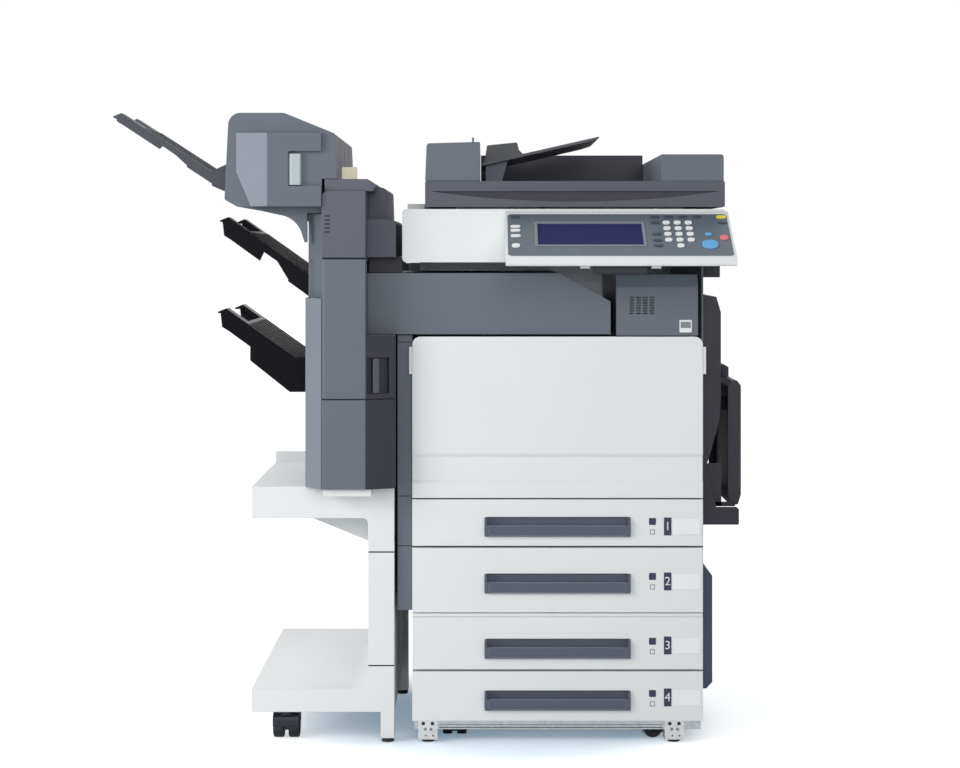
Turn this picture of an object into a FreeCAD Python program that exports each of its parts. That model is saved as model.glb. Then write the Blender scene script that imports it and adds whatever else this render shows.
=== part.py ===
import FreeCAD, Part
import math
import operator
import os
import types

import Sketcher

# Office photocopier: printer body on a two-drawer cabinet, scanner and document feeder on top, and a
# relay unit that leads left to a finisher tower on its own desk.
# Frame: origin on the floor under the middle of the machine, +X to the operator's right, +Y to the rear,
# +Z up. Lengths are millimetres. The fronts of the drawers lie in the plane y = front.

SIZES = {
    # common
    "clearance": 0.3,
    "skin": 4,
    "plate": 3,
    # printer body and cabinet
    "fronts_left": -29.5,
    "fronts_width": 567,
    "front": -237.5,
    "front_thickness": 22,
    "body_depth": 620,
    "bay_wall": 3.5,
    "base_height": 42.5,
    "front_gap": 4,
    "door_gap": 3,
    "cabinet_top": 7,
    "cabinet_seam": 2,
    "drawer_one_height": 90.5,
    "drawer_two_height": 126,
    "drawer_three_height": 102,
    "drawer_four_height": 96.5,
    "door_height": 314.5,
    "deck_thickness": 3.5,
    "upper_height": 140.5,
    # drawers
    "handle_width": 285,
    "handle_height": 38,
    "handle_proud": 6.5,
    "handle_lip": 23,
    "handle_wall": 4,
    "handle_depth": 19,
    "handle_one_drop": 53,
    "handle_two_drop": 69,
    "handle_three_drop": 61,
    "handle_four_drop": 56,
    "tray_side_gap": 12,
    "tray_depth": 400,
    "tray_wall": 2,
    "tray_floor_rise": 8,
    "tray_head_gap": 16,
    "runner_height": 8,
    "runner_rise": 22,
    "lift_inset": 8,
    # front door
    "door_corner": 16,
    "door_thickness": 21,
    "band_low": 28,
    "band_high": 86,
    "band_depth": 5,
    "band_slope": 7,
    "ear_width": 6.3,
    "ear_height": 53,
    "ear_drop": 20,
    "ear_thickness": 6,
    # covers
    "left_cover_width": 29,
    "left_cover_setback": 9.5,
    "cover_foot": 5,
    "right_cover_thickness": 3.2,
    "column_left": 369,
    "rear_column_front": 200,
    "upper_cover_right": 528,
    "upper_fold": 94,
    "upper_lean": 10,
    "pin_width": 1.5,
    "pin_height": 6,
    "grille_left": 26,
    "grille_rise": 42,
    "slot_width": 9,
    "slot_height": 2.6,
    "slot_pitch": 13,
    "slot_rows_pitch": 5.2,
    # engine
    "shelf_one_rise": 65,
    "shelf_two_rise": 165,
    "unit_left": 20,
    "unit_pitch": 104,
    "unit_length": 380,
    "drum_unit_width": 84,
    "drum_unit_height": 72,
    "toner_radius": 34,
    "fuser_width": 72,
    "belt_unit_height": 52,
    "belt_unit_width": 400,
    # base
    "rail_height": 17,
    "rail_width": 20,
    "rear_inset": 22,
    "bracket_width": 38,
    "left_bracket_x": -18,
    "right_bracket_x": 463,
    "bracket_depth": 34,
    "bracket_floor": 6,
    "bracket_plate": 2.5,
    "foot_radius": 12,
    "foot_height": 5.5,
    "stem_radius": 4,
    "caster_wheel_radius": 18,
    "caster_wheel_width": 19,
    "caster_web": 9,
    "caster_trail": 11,
    "caster_pad": 2.5,
    "left_caster_x": 52.5,
    "right_caster_x": 432,
    "caster_inset": 62,
    "rear_caster_x": 50,
    "rear_caster_inset": 90,
    "axle_radius": 4,
    "axle_clearance": 0.05,
    # doors at the right
    "side_door_bulge": 37,
    "side_door_front": -190,
    "side_door_depth": 520,
    "side_door_low": 512,
    "side_door_high": 872,
    "side_door_corner": 3,
    "arm_reach": 74,
    "arm_low": 417,
    "arm_height": 32.5,
    "bypass_thickness": 26,
    "bypass_height": 248,
    "bypass_front": -145,
    "bypass_width": 330,
    "bypass_lip": 24,
    "feed_door_low": 95,
    "feed_door_high": 341,
    "feed_door_bulge": 20,
    "feed_door_depth": 390,
    # relay unit
    "relay_left": -117.2,
    "relay_right": 357.5,
    "relay_rise": 0.3,
    "relay_height": 119,
    "relay_end_height": 64,
    "relay_slope_start": 98,
    "relay_cover_thickness": 10,
    "relay_depth": 432,
    "relay_duct": 54,
    "roller_radius": 11,
    # scanner
    "scanner_left": -49,
    "scanner_width": 631.5,
    "scanner_height": 104,
    "scanner_depth": 537,
    "scanner_corner": 8,
    "window_left": 109,
    "window_width": 440,
    "window_front": 47,
    "window_depth": 320,
    "glass_thickness": 4,
    "ledge_height": 48,
    "ledge_width": 10,
    "carriage_width": 40,
    "carriage_height": 30,
    "mirror_width": 26,
    "stay_height": 30,
    "stay_width": 36,
    "shoulder_height": 12,
    "shoulder_width": 34,
    # document feeder
    "feeder_left": -4.5,
    "feeder_width": 585,
    "feeder_gap": 4,
    "feeder_height": 50.5,
    "feeder_depth": 527,
    "feeder_block_depth": 465,
    "feed_cover_width": 107.5,
    "feed_cover_height": 76.5,
    "right_block_width": 121,
    "right_block_height": 52.5,
    "back_wall_height": 72,
    "back_wall_thickness": 15,
    "fascia_line": 20,
    "lens_sag": 20,
    "lens_inset": 12,
    "lens_depth": 4,
    "pad_height": 3.2,
    "document_left": 106,
    "document_run": 234,
    "document_rise": 53,
    "document_root": 33,
    "document_thickness": 6,
    "document_front": -150,
    "document_width": 300,
    "bracket_run": 44,
    "guide_length": 84,
    "guide_offset": 100,
    "guide_lean": 7,
    "guide_thickness": 4,
    "rear_guide_height": 46,
    "front_guide_height": 20,
    # control panel
    "panel_left": 152,
    "panel_width": 433,
    "panel_reach": 145,
    "panel_gap": 2,
    "panel_run": 135,
    "panel_rise": 85,
    "panel_foot": 948,
    "panel_apron": 17,
    "panel_belly": 72,
    "panel_heel": 42,
    "face_thickness": 3,
    "face_margin": 4,
    "key_room": 7,
    "key_proud": 1.6,
    "key_pitch": 21.3,
    "key_row": 20.8,
    "keypad_x": 462,
    "keypad_low": 60.5,
    "key_width": 14,
    "key_length": 12.5,
    "start_x": 539,
    "start_up": 44,
    "start_size": 31,
    "stop_x": 568,
    "stop_up": 68,
    "stop_size": 17,
    "screen_left": 213.5,
    "screen_width": 200,
    "screen_low": 43,
    "screen_length": 77,
    "lever_left": 317,
    "lever_width": 103,
    "lever_height": 15,
    "lever_depth": 16,
    "lever_inset": 32,
    # finisher tower
    "tower_left": -236.6,
    "tower_middle": -201.3,
    "tower_turn": -117.6,
    "tower_right": -62,
    "tower_front": -292.5,
    "tower_left_front": -252.5,
    "tower_right_front": -272.5,
    "tower_rear": 300,
    "tower_low": 500.5,
    "tower_joint": 675,
    "tower_door_top": 943.5,
    "tower_shoulder": 868,
    "tower_recess": 24,
    "tower_door_thickness": 20,
    "tower_hinge_corner": 5.5,
    "tower_upper_height": 130.5,
    "tower_upper_depth": 405,
    "tower_side_height": 74,
    "tower_cap_height": 23,
    "tower_back_height": 67,
    "grip_low": 684,
    "grip_height": 70,
    "grip_left": -114,
    "grip_width": 42,
    "grip_depth": 11,
    # fold head
    "head_left": -389,
    "head_front": -297.5,
    "head_depth": 491,
    "head_low": 1044.2,
    "head_height": 181,
    "head_cover_thickness": 9,
    "head_groove": 6,
    "head_inset": 5,
    "arm_thickness": 9,
    "latch_width": 25,
    "latch_height": 60,
    # trays
    "tray_skin": 3.5,
    "top_tray_reach": 198,
    "top_tray_drop": 117,
    "top_tray_depth": 24,
    "top_tray_front": -186.5,
    "top_tray_width": 217,
    "top_tray_tip": 1232,
    "side_tray_front": -197.5,
    "side_tray_width": 307,
    "side_tray_reach": 178,
    "side_tray_drop": 114,
    "side_tray_depth": 43.5,
    "middle_tray_tip": 1026,
    "lower_tray_tip": 846,
    "tray_nose": 17,
    "notch_depth": 55,
    "notch_margin": 46,
    "skirt_drop": 62,
    # desk
    "desk_left": -342,
    "desk_right": -64.5,
    "desk_top_height": 62,
    "desk_top_depth": 460,
    "desk_lip": 21,
    "desk_lip_depth": 30,
    "desk_column_width": 51,
    "desk_column_depth": 408,
    "desk_upper_seam": 372,
    "desk_lower_seam": 150,
    "desk_base_low": 60,
    "desk_base_high": 105,
    "desk_base_depth": 599,
    "desk_round": 34,
    "desk_corner": 11,
    "desk_wall": 3.5,
    "desk_leg_width": 26.5,
    "desk_leg_depth": 32,
    "desk_foot_height": 9,
    "ledge_thickness": 14,
    "post_width": 26,
    "post_depth": 30,
    "post_left": -79,
    "post_top": 250,
    "desk_wheel_radius": 24,
    "desk_wheel_width": 21,
    "desk_caster_x": -278.5,
    "desk_caster_inset": 34,
    "desk_caster_trail": 14,
    "gusset_run": 150,
    "gusset_drop": 62,
}

doc = FreeCAD.newDocument("photocopier")
sheet = doc.addObject("Spreadsheet::Sheet", "Sizes")
for row, (name, number) in enumerate(SIZES.items(), 1):
    sheet.set(f"A{row}", name)
    sheet.set(f"B{row}", str(number))
    sheet.setAlias(f"B{row}", name)
doc.recompute()


OPERATIONS = {"+": operator.add, "-": operator.sub, "*": operator.mul, "/": operator.truediv}


def as_size(thing):
    """Turns a plain number into a Size."""
    if isinstance(thing, Size):
        return thing
    return Size(float(thing), f"({float(thing)!r})")


def combine(left, sign, right):
    """Works out a sum, difference, product or ratio as a number and as a sheet expression."""
    left = as_size(left)
    right = as_size(right)
    return Size(OPERATIONS[sign](left.value, right.value), f"({left.text} {sign} {right.text})")


class Size:
    """A length in millimetres together with the sheet expression that it follows."""

    def __init__(self, value, text):
        self.value = value
        self.text = text

    def __add__(self, other):
        return combine(self, "+", other)

    def __radd__(self, other):
        return combine(other, "+", self)

    def __sub__(self, other):
        return combine(self, "-", other)

    def __rsub__(self, other):
        return combine(other, "-", self)

    def __mul__(self, other):
        return combine(self, "*", other)

    def __rmul__(self, other):
        return combine(other, "*", self)

    def __truediv__(self, other):
        return combine(self, "/", other)

    def __neg__(self):
        return combine(0, "-", self)


S = types.SimpleNamespace(**{name: Size(number, f"Sizes.{name}") for name, number in SIZES.items()})


def at_corner(corner):
    """Splits a corner into its two coordinates and its rounding, which may be left out."""
    rounding = corner[2] if len(corner) > 2 else None
    return as_size(corner[0]), as_size(corner[1]), rounding and as_size(rounding)


def draw_outline(sketch, corners):
    """Draws one closed outline of straight sides, with an arc at each corner that has a rounding."""
    corners = [at_corner(corner) for corner in corners]
    points = [FreeCAD.Vector(across.value, up.value, 0) for across, up, rounding in corners]
    count = len(corners)
    arcs = []
    for index, (across, up, rounding) in enumerate(corners):
        corner = points[index]
        to_last = (points[index - 1] - corner).normalize()
        to_next = (points[(index + 1) % count] - corner).normalize()
        if rounding is None:
            arcs.append((corner, None, corner))
            continue
        half = to_last.getAngle(to_next) / 2
        reach = rounding.value / math.tan(half)
        centre = corner + (to_last + to_next).normalize() * (rounding.value / math.sin(half))
        arcs.append((corner + to_last * reach, centre, corner + to_next * reach))
    sides = []
    for index in range(count):
        side = Part.LineSegment(arcs[index][2], arcs[(index + 1) % count][0])
        sides.append(sketch.addGeometry(side, False))
    constraints = []
    bindings = []
    for index, (across, up, rounding) in enumerate(corners):
        before = sides[index - 1]
        after = sides[index]
        if rounding is None:
            constraints.append(Sketcher.Constraint("Coincident", before, 2, after, 1))
            place = (after, 1)
        else:
            start, centre, end = arcs[index]
            turns = [math.atan2(point.y - centre.y, point.x - centre.x) for point in (start, end)]
            near, far = (1, 2) if (turns[1] - turns[0]) % (2 * math.pi) < math.pi else (2, 1)
            circle = Part.Circle(centre, FreeCAD.Vector(0, 0, 1), rounding.value)
            arc = sketch.addGeometry(Part.ArcOfCircle(circle, turns[near - 1], turns[far - 1]), False)
            constraints.append(Sketcher.Constraint("Tangent", before, 2, arc, near))
            constraints.append(Sketcher.Constraint("Tangent", after, 1, arc, far))
            constraints.append(Sketcher.Constraint("Radius", arc, rounding.value))
            bindings.append((len(constraints) - 1, rounding))
            mark = sketch.addGeometry(Part.Point(points[index]), True)
            constraints.append(Sketcher.Constraint("PointOnObject", mark, 1, before))
            constraints.append(Sketcher.Constraint("PointOnObject", mark, 1, after))
            place = (mark, 1)
        constraints.append(Sketcher.Constraint("DistanceX", -1, 1, *place, across.value))
        bindings.append((len(constraints) - 1, across))
        constraints.append(Sketcher.Constraint("DistanceY", -1, 1, *place, up.value))
        bindings.append((len(constraints) - 1, up))
    first = sketch.ConstraintCount
    sketch.addConstraint(constraints)
    for index, size in bindings:
        sketch.setExpression(f"Constraints[{first + index}]", size.text)


def in_groups(outlines, size):
    """Splits outlines into groups, so that no sketch holds too many."""
    return [outlines[start:start + size] for start in range(0, len(outlines), size)]


PLANES = {"XY": ("XY_Plane", "z", 1), "XZ": ("XZ_Plane", "y", -1), "YZ": ("YZ_Plane", "x", 1)}
TURNS = {
    "x": FreeCAD.Rotation(FreeCAD.Vector(0, 1, 0), 90),
    "y": FreeCAD.Rotation(FreeCAD.Vector(1, 0, 0), -90),
    "z": FreeCAD.Rotation(),
}
bodies = []


class Piece:
    """One sub-part of the copier: a body whose features all follow the sheet."""

    def __init__(self, label):
        self.body = doc.addObject("PartDesign::Body", label)
        self.body.Label = label
        bodies.append(self.body)

    def block(self, x, y, z, cut=False):
        """Adds or cuts a box given by its (low, high) pair along each axis."""
        kind = "PartDesign::SubtractiveBox" if cut else "PartDesign::AdditiveBox"
        box = self.body.newObject(kind, "Box")
        box.Refine = False
        for side, axis, (low, high) in zip(("Length", "Width", "Height"), "xyz", (x, y, z)):
            box.setExpression(side, (as_size(high) - low).text)
            box.setExpression(f"Placement.Base.{axis}", as_size(low).text)

    def cylinder(self, axis, centre, radius, span, cut=False):
        """Adds or cuts a round bar along an axis: centre gives its place across that axis."""
        kind = "PartDesign::SubtractiveCylinder" if cut else "PartDesign::AdditiveCylinder"
        bar = self.body.newObject(kind, "Cylinder")
        bar.Placement = FreeCAD.Placement(FreeCAD.Vector(), TURNS[axis])
        place = dict(zip("xyz".replace(axis, ""), centre))
        place[axis] = span[0]
        for name, size in place.items():
            bar.setExpression(f"Placement.Base.{name}", as_size(size).text)
        bar.setExpression("Radius", as_size(radius).text)
        bar.Refine = False
        bar.setExpression("Height", (as_size(span[1]) - span[0]).text)

    def sketch(self, plane, level):
        """A new sketch parallel to one of the body's own planes."""
        role, axis, sign = PLANES[plane]
        sketch = self.body.newObject("Sketcher::SketchObject", "Outline")
        base = next(item for item in self.body.Origin.OriginFeatures if item.Role == role)
        sketch.AttachmentSupport = [(base, "")]
        sketch.MapMode = "FlatFace"
        sketch.setExpression("AttachmentOffset.Base.z", (as_size(level) * sign).text)
        return sketch

    def extrude(self, sketch, length, reverse, cut=False):
        """Pads or pockets a sketch; reverse turns it against the feature's own direction."""
        feature = self.body.newObject("PartDesign::Pocket" if cut else "PartDesign::Pad", "Extrusion")
        feature.Profile = sketch
        feature.setExpression("Length", as_size(length).text)
        feature.Reversed = reverse
        feature.Refine = False

    def prism(self, plane, span, *outlines, cut=False):
        """Adds or cuts the prism of one or more outlines between two levels across the plane."""
        towards_low = plane == "XZ"
        for group in in_groups(outlines, 6):
            sketch = self.sketch(plane, span[0])
            for outline in group:
                draw_outline(sketch, outline)
            self.extrude(sketch, as_size(span[1]) - span[0], towards_low != cut, cut)

    def face_prism(self, span, *outlines, cut=False):
        """Adds or cuts prisms square to the control panel's face, in (along x, up the slope)."""
        slope = panel_slope()
        length = as_size(span[1]) - span[0]
        foot = S.front - S.panel_reach - span[0] * S.panel_rise / slope
        height = S.panel_foot + span[0] * S.panel_run / slope
        for group in in_groups(outlines, 2):
            sketch = self.sketch("XY", 0)
            turn = FreeCAD.Rotation(FreeCAD.Vector(1, 0, 0), 30)
            sketch.AttachmentOffset = FreeCAD.Placement(FreeCAD.Vector(), turn)
            angle = f"atan({S.panel_rise.text} / {S.panel_run.text})"
            sketch.setExpression("AttachmentOffset.Rotation.Angle", angle)
            sketch.setExpression("AttachmentOffset.Base.y", foot.text)
            sketch.setExpression("AttachmentOffset.Base.z", height.text)
            for outline in group:
                draw_outline(sketch, outline)
            self.extrude(sketch, length, cut, cut)


def square_root(size):
    """Square root of a Size, as a Size."""
    return Size(math.sqrt(size.value), f"sqrt({size.text})")


def rectangle(x, y, rounding=None):
    """The four corners of a rectangle from its (low, high) pair along both axes."""
    corners = [(x[0], y[0]), (x[1], y[0]), (x[1], y[1]), (x[0], y[1])]
    return corners if rounding is None else [(*corner, rounding) for corner in corners]


def about(centre, width):
    """The (low, high) pair of a length centred on a place."""
    return as_size(centre) - width / 2, as_size(centre) + width / 2


# Levels and faces that several sub-parts share.
GAP = S.clearance
fronts_right = S.fronts_left + S.fronts_width
fronts_middle = S.fronts_left + S.fronts_width / 2
frame_front = S.front + S.front_thickness + GAP
rear = S.front + S.body_depth
chassis_rear = rear - S.skin - GAP
bay_left = S.fronts_left + S.bay_wall
bay_right = fronts_right - S.bay_wall

drawer_four_high = S.base_height + S.drawer_four_height
drawer_three_low = drawer_four_high + S.front_gap
drawer_three_high = drawer_three_low + S.drawer_three_height
cabinet_high = drawer_three_high + S.cabinet_top
drawer_two_low = cabinet_high + S.cabinet_seam
drawer_two_high = drawer_two_low + S.drawer_two_height
drawer_one_low = drawer_two_high + S.front_gap
drawer_one_high = drawer_one_low + S.drawer_one_height
door_low = drawer_one_high + S.door_gap
door_high = door_low + S.door_height
deck_low = door_high + 1
deck_high = deck_low + S.deck_thickness
scanner_low = deck_high + S.upper_height
scanner_high = scanner_low + S.scanner_height
scanner_right = S.scanner_left + S.scanner_width
scanner_rear = S.front + S.scanner_depth
feeder_low = scanner_high + S.feeder_gap
feeder_high = feeder_low + S.feeder_height
feeder_right = S.feeder_left + S.feeder_width
cover_left = S.fronts_left - S.left_cover_width
side_face = fronts_right + S.right_cover_thickness


def base_frame():
    """Steel frame under the cabinet: four rails, caster pads, fixed forks at the rear and foot brackets."""
    piece = Piece("base_frame")
    low = S.base_height - S.rail_height
    high = S.base_height - GAP
    front = S.front + 4
    back = rear - S.rear_inset
    left = S.fronts_left + 4
    right = fronts_right - 4
    behind = front + S.rail_width
    ahead = back - S.rail_width
    piece.block((left, right), (front, behind), (low, high))
    piece.block((left, right), (ahead, back), (low, high))
    piece.block((left, left + S.rail_width), (behind + GAP, ahead - GAP), (low, high))
    piece.block((right - S.rail_width, right), (behind + GAP, ahead - GAP), (low, high))
    for x in (S.left_caster_x, S.right_caster_x):
        pad = S.front + S.caster_inset
        piece.block(about(x, 44), (behind + GAP, pad + 26), (high - S.caster_pad, high))
    for x in (left + S.rear_caster_x, right - S.rear_caster_x):
        pad = rear - S.rear_caster_inset
        piece.block(about(x, 44), (pad - 26, ahead - GAP), (high - S.caster_pad, high))
        piece.block(about(x, S.caster_web), (pad - 10, pad + 10), (S.caster_wheel_radius - 8, high))
        piece.cylinder("x", (pad, S.caster_wheel_radius), S.axle_radius,
                       about(x, S.caster_web + 2 * S.caster_wheel_width))
    for start in (S.left_bracket_x, S.right_bracket_x):
        span = (start, start + S.bracket_width)
        depth = (bracket_front(), bracket_front() + S.bracket_depth)
        floor = (S.bracket_floor, S.bracket_floor + S.bracket_plate)
        piece.block(span, (depth[0], depth[0] + S.bracket_plate), (floor[0], high))
        piece.block(span, depth, floor)
        piece.block(span, (depth[1] - S.bracket_plate, depth[1]), (floor[0], low - GAP))
        piece.cylinder("z", (start + S.bracket_width / 2, depth[0] + S.bracket_depth / 2),
                       S.stem_radius + GAP, (floor[0] - 1, floor[1] + 1), cut=True)


def bracket_front():
    """Front face of the foot brackets, which are bolted on in front of the frame's front rail."""
    return S.front + 4 - GAP - S.bracket_plate


def levelling_feet():
    """Four screw feet: two in the cabinet's front brackets, two under the desk."""
    piece = Piece("levelling_feet")
    across = bracket_front() + S.bracket_depth / 2
    for start in (S.left_bracket_x, S.right_bracket_x):
        place = (start + S.bracket_width / 2, across)
        piece.cylinder("z", place, S.foot_radius, (0, S.foot_height))
        piece.cylinder("z", place, S.stem_radius, (S.foot_height, S.base_height - S.rail_height - GAP))
    leg = (S.desk_right - S.desk_leg_width / 2, S.front + S.desk_leg_depth / 2)
    post = (S.post_left + S.post_width / 2, post_front() + S.post_depth / 2)
    for place in (leg, post):
        piece.cylinder("z", place, S.foot_radius, (0, S.desk_foot_height - GAP))


def post_front():
    """Front face of the steel post behind the desk's column."""
    return S.front + S.desk_column_depth + GAP


def twin_caster(name, place, across, radius, wheel_width, trail, top, hood=None):
    """A swivel fork with its axle, and the two wheels that turn on it.

    place is the swivel axis on the floor plan, across says whether the axle lies along x or y.
    """
    x, y = place
    fork = Piece(f"{name}_fork")
    web = S.caster_web
    if across == "x":
        axle = (y + trail, radius)
        centre = as_size(x)
        fork.block(about(x, web), (y - 6, y + trail + 6), (radius - 6, 2 * radius + 1.5))
    else:
        axle = (as_size(x) + trail, radius)
        centre = as_size(y)
        fork.block((as_size(x) - 6, as_size(x) + trail + 6), about(y, web), (radius - 6, 2 * radius + 1.5))
    fork.cylinder(across, axle, S.axle_radius, about(centre, web + 2 * wheel_width))
    fork.cylinder("z", (x, y), 13, (2 * radius + 0.5, top))
    if hood is not None:
        low = radius + 3
        width = web + 2 * wheel_width
        fork.prism("YZ", about(x, width), [
            (y + trail - radius - hood, low), (y + trail - radius - 1, low), (y + trail - radius - 1, 2 * radius + 1, 12),
            (y + trail + radius + 1, 2 * radius + 1, 12), (y + trail + radius + 1, low), (y + trail + radius + hood, low),
            (y + trail + radius + hood, 2 * radius + hood + 1, 14),
            (y + trail - radius - hood, 2 * radius + hood + 1, 14)])
    wheels = Piece(f"{name}_wheels")
    for side in (-1, 1):
        inner = centre + side * (web / 2 + GAP)
        outer = centre + side * (web / 2 + wheel_width)
        span = (inner, outer) if side > 0 else (outer, inner)
        wheels.cylinder(across, axle, radius, span)
    wheels.cylinder(across, axle, S.axle_radius + S.axle_clearance,
                    about(centre, web + 2 * wheel_width + 2), cut=True)


def rear_wheels():
    """The two pairs of fixed wheels at the cabinet's rear."""
    piece = Piece("rear_wheels")
    y = rear - S.rear_caster_inset
    for x in (S.fronts_left + 4 + S.rear_caster_x, fronts_right - 4 - S.rear_caster_x):
        for side in (-1, 1):
            inner = x + side * (S.caster_web / 2 + GAP)
            outer = x + side * (S.caster_web / 2 + S.caster_wheel_width)
            span = (inner, outer) if side > 0 else (outer, inner)
            piece.cylinder("x", (y, S.caster_wheel_radius), S.caster_wheel_radius, span)
        piece.cylinder("x", (y, S.caster_wheel_radius), S.axle_radius + S.axle_clearance,
                       about(x, S.caster_web + 2 * S.caster_wheel_width + 2), cut=True)


def cabinet_shell():
    """Sheet steel cabinet for the two lower drawers, of separate panels."""
    piece = Piece("cabinet_shell")
    low = S.base_height
    high = drawer_three_high
    inside = (bay_left + GAP, bay_right - GAP)
    depth = (frame_front, rear - S.skin - GAP)
    piece.block((S.fronts_left, bay_left), (frame_front, rear), (low, high))
    piece.block((bay_right, fronts_right), (frame_front, rear), (low, high))
    piece.block(inside, (rear - S.skin, rear), (low, high))
    piece.block(inside, depth, (low, low + 2))
    piece.block(inside, depth, (drawer_four_high + 1, drawer_four_high + 3))
    piece.block((S.fronts_left, fronts_right), (S.front + 2, rear), (high + GAP, cabinet_high))


def drawer(name, low, high, drop):
    """A paper drawer: white front with its handle, and the tray behind it with its lift plate."""
    front = Piece(f"drawer_{name}_front")
    window_high = high - drop + S.handle_height / 2
    window = (window_high - S.handle_height, window_high)
    width = about(fronts_middle, S.handle_width)
    front.prism("XZ", (S.front, S.front + S.front_thickness),
                rectangle((S.fronts_left, fronts_right), (low, high)), rectangle(width, window, 4))
    cup = (window[0] + GAP, window[1] - GAP)
    lip = S.front - S.handle_proud
    back = S.front + S.handle_depth
    inner = (width[0] + GAP, width[1] - GAP)
    front.prism("YZ", inner, [
        (lip, cup[0]), (back, cup[0]), (back, cup[1]), (back - S.handle_wall, cup[1]),
        (back - S.handle_wall, cup[0] + S.handle_wall), (lip + S.handle_wall, cup[0] + S.handle_wall),
        (lip + S.handle_wall, cup[0] + S.handle_lip), (lip, cup[0] + S.handle_lip - 2)])
    for end in ((inner[0], inner[0] + S.handle_wall), (inner[1] - S.handle_wall, inner[1])):
        front.prism("YZ", end, [
            (lip, cup[0]), (back, cup[0]), (back, cup[1]), (S.front, cup[1]), (lip, cup[0] + S.handle_lip + 6)])

    tray = Piece(f"drawer_{name}_tray")
    x = (S.fronts_left + S.tray_side_gap, fronts_right - S.tray_side_gap)
    y = (frame_front, frame_front + S.tray_depth)
    floor = low + S.tray_floor_rise
    top = high - S.tray_head_gap
    wall = S.tray_wall
    tray.block(x, y, (floor, top))
    tray.block((x[0] + wall, x[1] - wall), (y[0] + wall, y[1] - wall), (floor + wall, top + 1), cut=True)
    runner = (low + S.runner_rise, low + S.runner_rise + S.runner_height)
    tray.block((bay_left + GAP, x[0]), y, runner)
    tray.block((x[1], bay_right - GAP), y, runner)
    inset = wall + S.lift_inset
    tray.block((x[0] + inset, x[1] - inset), (y[0] + inset, y[1] - inset),
               (floor + wall + GAP, floor + wall + GAP + 1.5))


def chassis():
    """Steel frame of the printer body: bays, engine shelves, deck and the columns under the scanner."""
    piece = Piece("chassis")
    plate = S.plate
    left = S.fronts_left + 0.5
    right = fronts_right - 0.5
    low = cabinet_high + GAP
    inside_x = (bay_left + GAP, bay_right - GAP)
    inside_y = (frame_front, chassis_rear - plate - GAP)
    roof = scanner_low - plate - GAP
    piece.block((left, bay_left), inside_y, (low, deck_low - GAP))
    piece.block((bay_right, right), inside_y, (low, deck_low - GAP))
    piece.block((left, right), (chassis_rear - plate, chassis_rear), (low, roof - GAP))
    for level in (low, drawer_two_high + 1, drawer_one_high + 0.8):
        piece.block(inside_x, inside_y, (level, level + 1.5))
    for rise in (S.shelf_one_rise, S.shelf_two_rise):
        piece.block(inside_x, (frame_front + 20, inside_y[1]), (door_low + rise - 2, door_low + rise))
    piece.block((left, right), inside_y, (deck_low, deck_high))
    column = (deck_high + GAP, roof - GAP)
    piece.block((S.column_left, S.column_left + plate), inside_y, column)
    piece.block((bay_right, right), inside_y, column)
    behind = (S.rear_column_front, inside_y[1])
    piece.block((left, S.column_left - GAP), (behind[0], behind[0] + plate), column)
    piece.block((left, bay_left), (behind[0] + plate + GAP, behind[1]), column)
    piece.block((S.column_left, right), inside_y, (roof, scanner_low - GAP))
    piece.block((left, S.column_left - GAP), behind, (roof, scanner_low - GAP))


def laser_unit_span():
    """Height of the laser writing unit that hangs under the deck."""
    return deck_low - GAP - 62, deck_low - GAP


def side_covers():
    """Plastic outer covers: the dark left one that wraps round to the front, and the right one."""
    piece = Piece("side_covers")
    front = S.front + S.left_cover_setback
    low = drawer_two_low + 3
    top = door_high + 3
    rear_top = scanner_low - S.cover_foot
    outer = (cover_left, cover_left + S.skin)
    back = chassis_rear
    piece.prism("YZ", outer, [(front, low), (back, low), (back, rear_top), (S.rear_column_front, rear_top),
                              (S.rear_column_front, top), (front, top)])
    inner = S.fronts_left - GAP
    piece.block((cover_left, inner), (front, front + S.skin), (low, top))
    piece.block((cover_left, inner), (front, S.rear_column_front), (top - S.skin, top))
    piece.block((cover_left, inner), (front, back), (low, low + S.skin))
    piece.block((cover_left, inner), (back - S.skin, back), (low, rear_top))
    piece.block((fronts_right - 0.5 + GAP, side_face), (frame_front, back), (drawer_two_low, rear_top))


def rear_cover():
    """Rear cover with two fan grilles, and the power inlet as a solid of its own."""
    piece = Piece("rear_cover")
    low = drawer_two_low + 3
    high = scanner_low - S.cover_foot
    span = (cover_left, side_face)
    piece.block(span, (rear - S.skin, rear), (low, high))
    grille = []
    for start in (80, 330):
        for index in range(9):
            level = low + 390 + 11 * index
            grille.append(rectangle((cover_left + start, cover_left + start + 110), (level, level + 5)))
    piece.prism("XZ", (rear - S.skin - 1, rear + 1), *grille, cut=True)
    inlet = (fronts_right - 90, fronts_right - 54)
    socket = (low + 40, low + 68)
    piece.block(inlet, (rear - S.skin - 1, rear + 1), socket, cut=True)
    body = (inlet[0] + GAP, inlet[1] - GAP)
    height = (socket[0] + GAP, socket[1] - GAP)
    piece.block(body, (rear - S.skin, rear - GAP), height)
    piece.block((body[0] + 3, body[1] - 3), (rear - S.skin + 1, rear), (height[0] + 3, height[1] - 3), cut=True)
    for across in (-7, 0, 7):
        place = (body[0] + body[1]) / 2 + across
        piece.block(about(place, S.pin_width), (rear - S.skin + 0.5, rear - 0.5),
                    about((height[0] + height[1]) / 2, S.pin_height))


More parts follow.
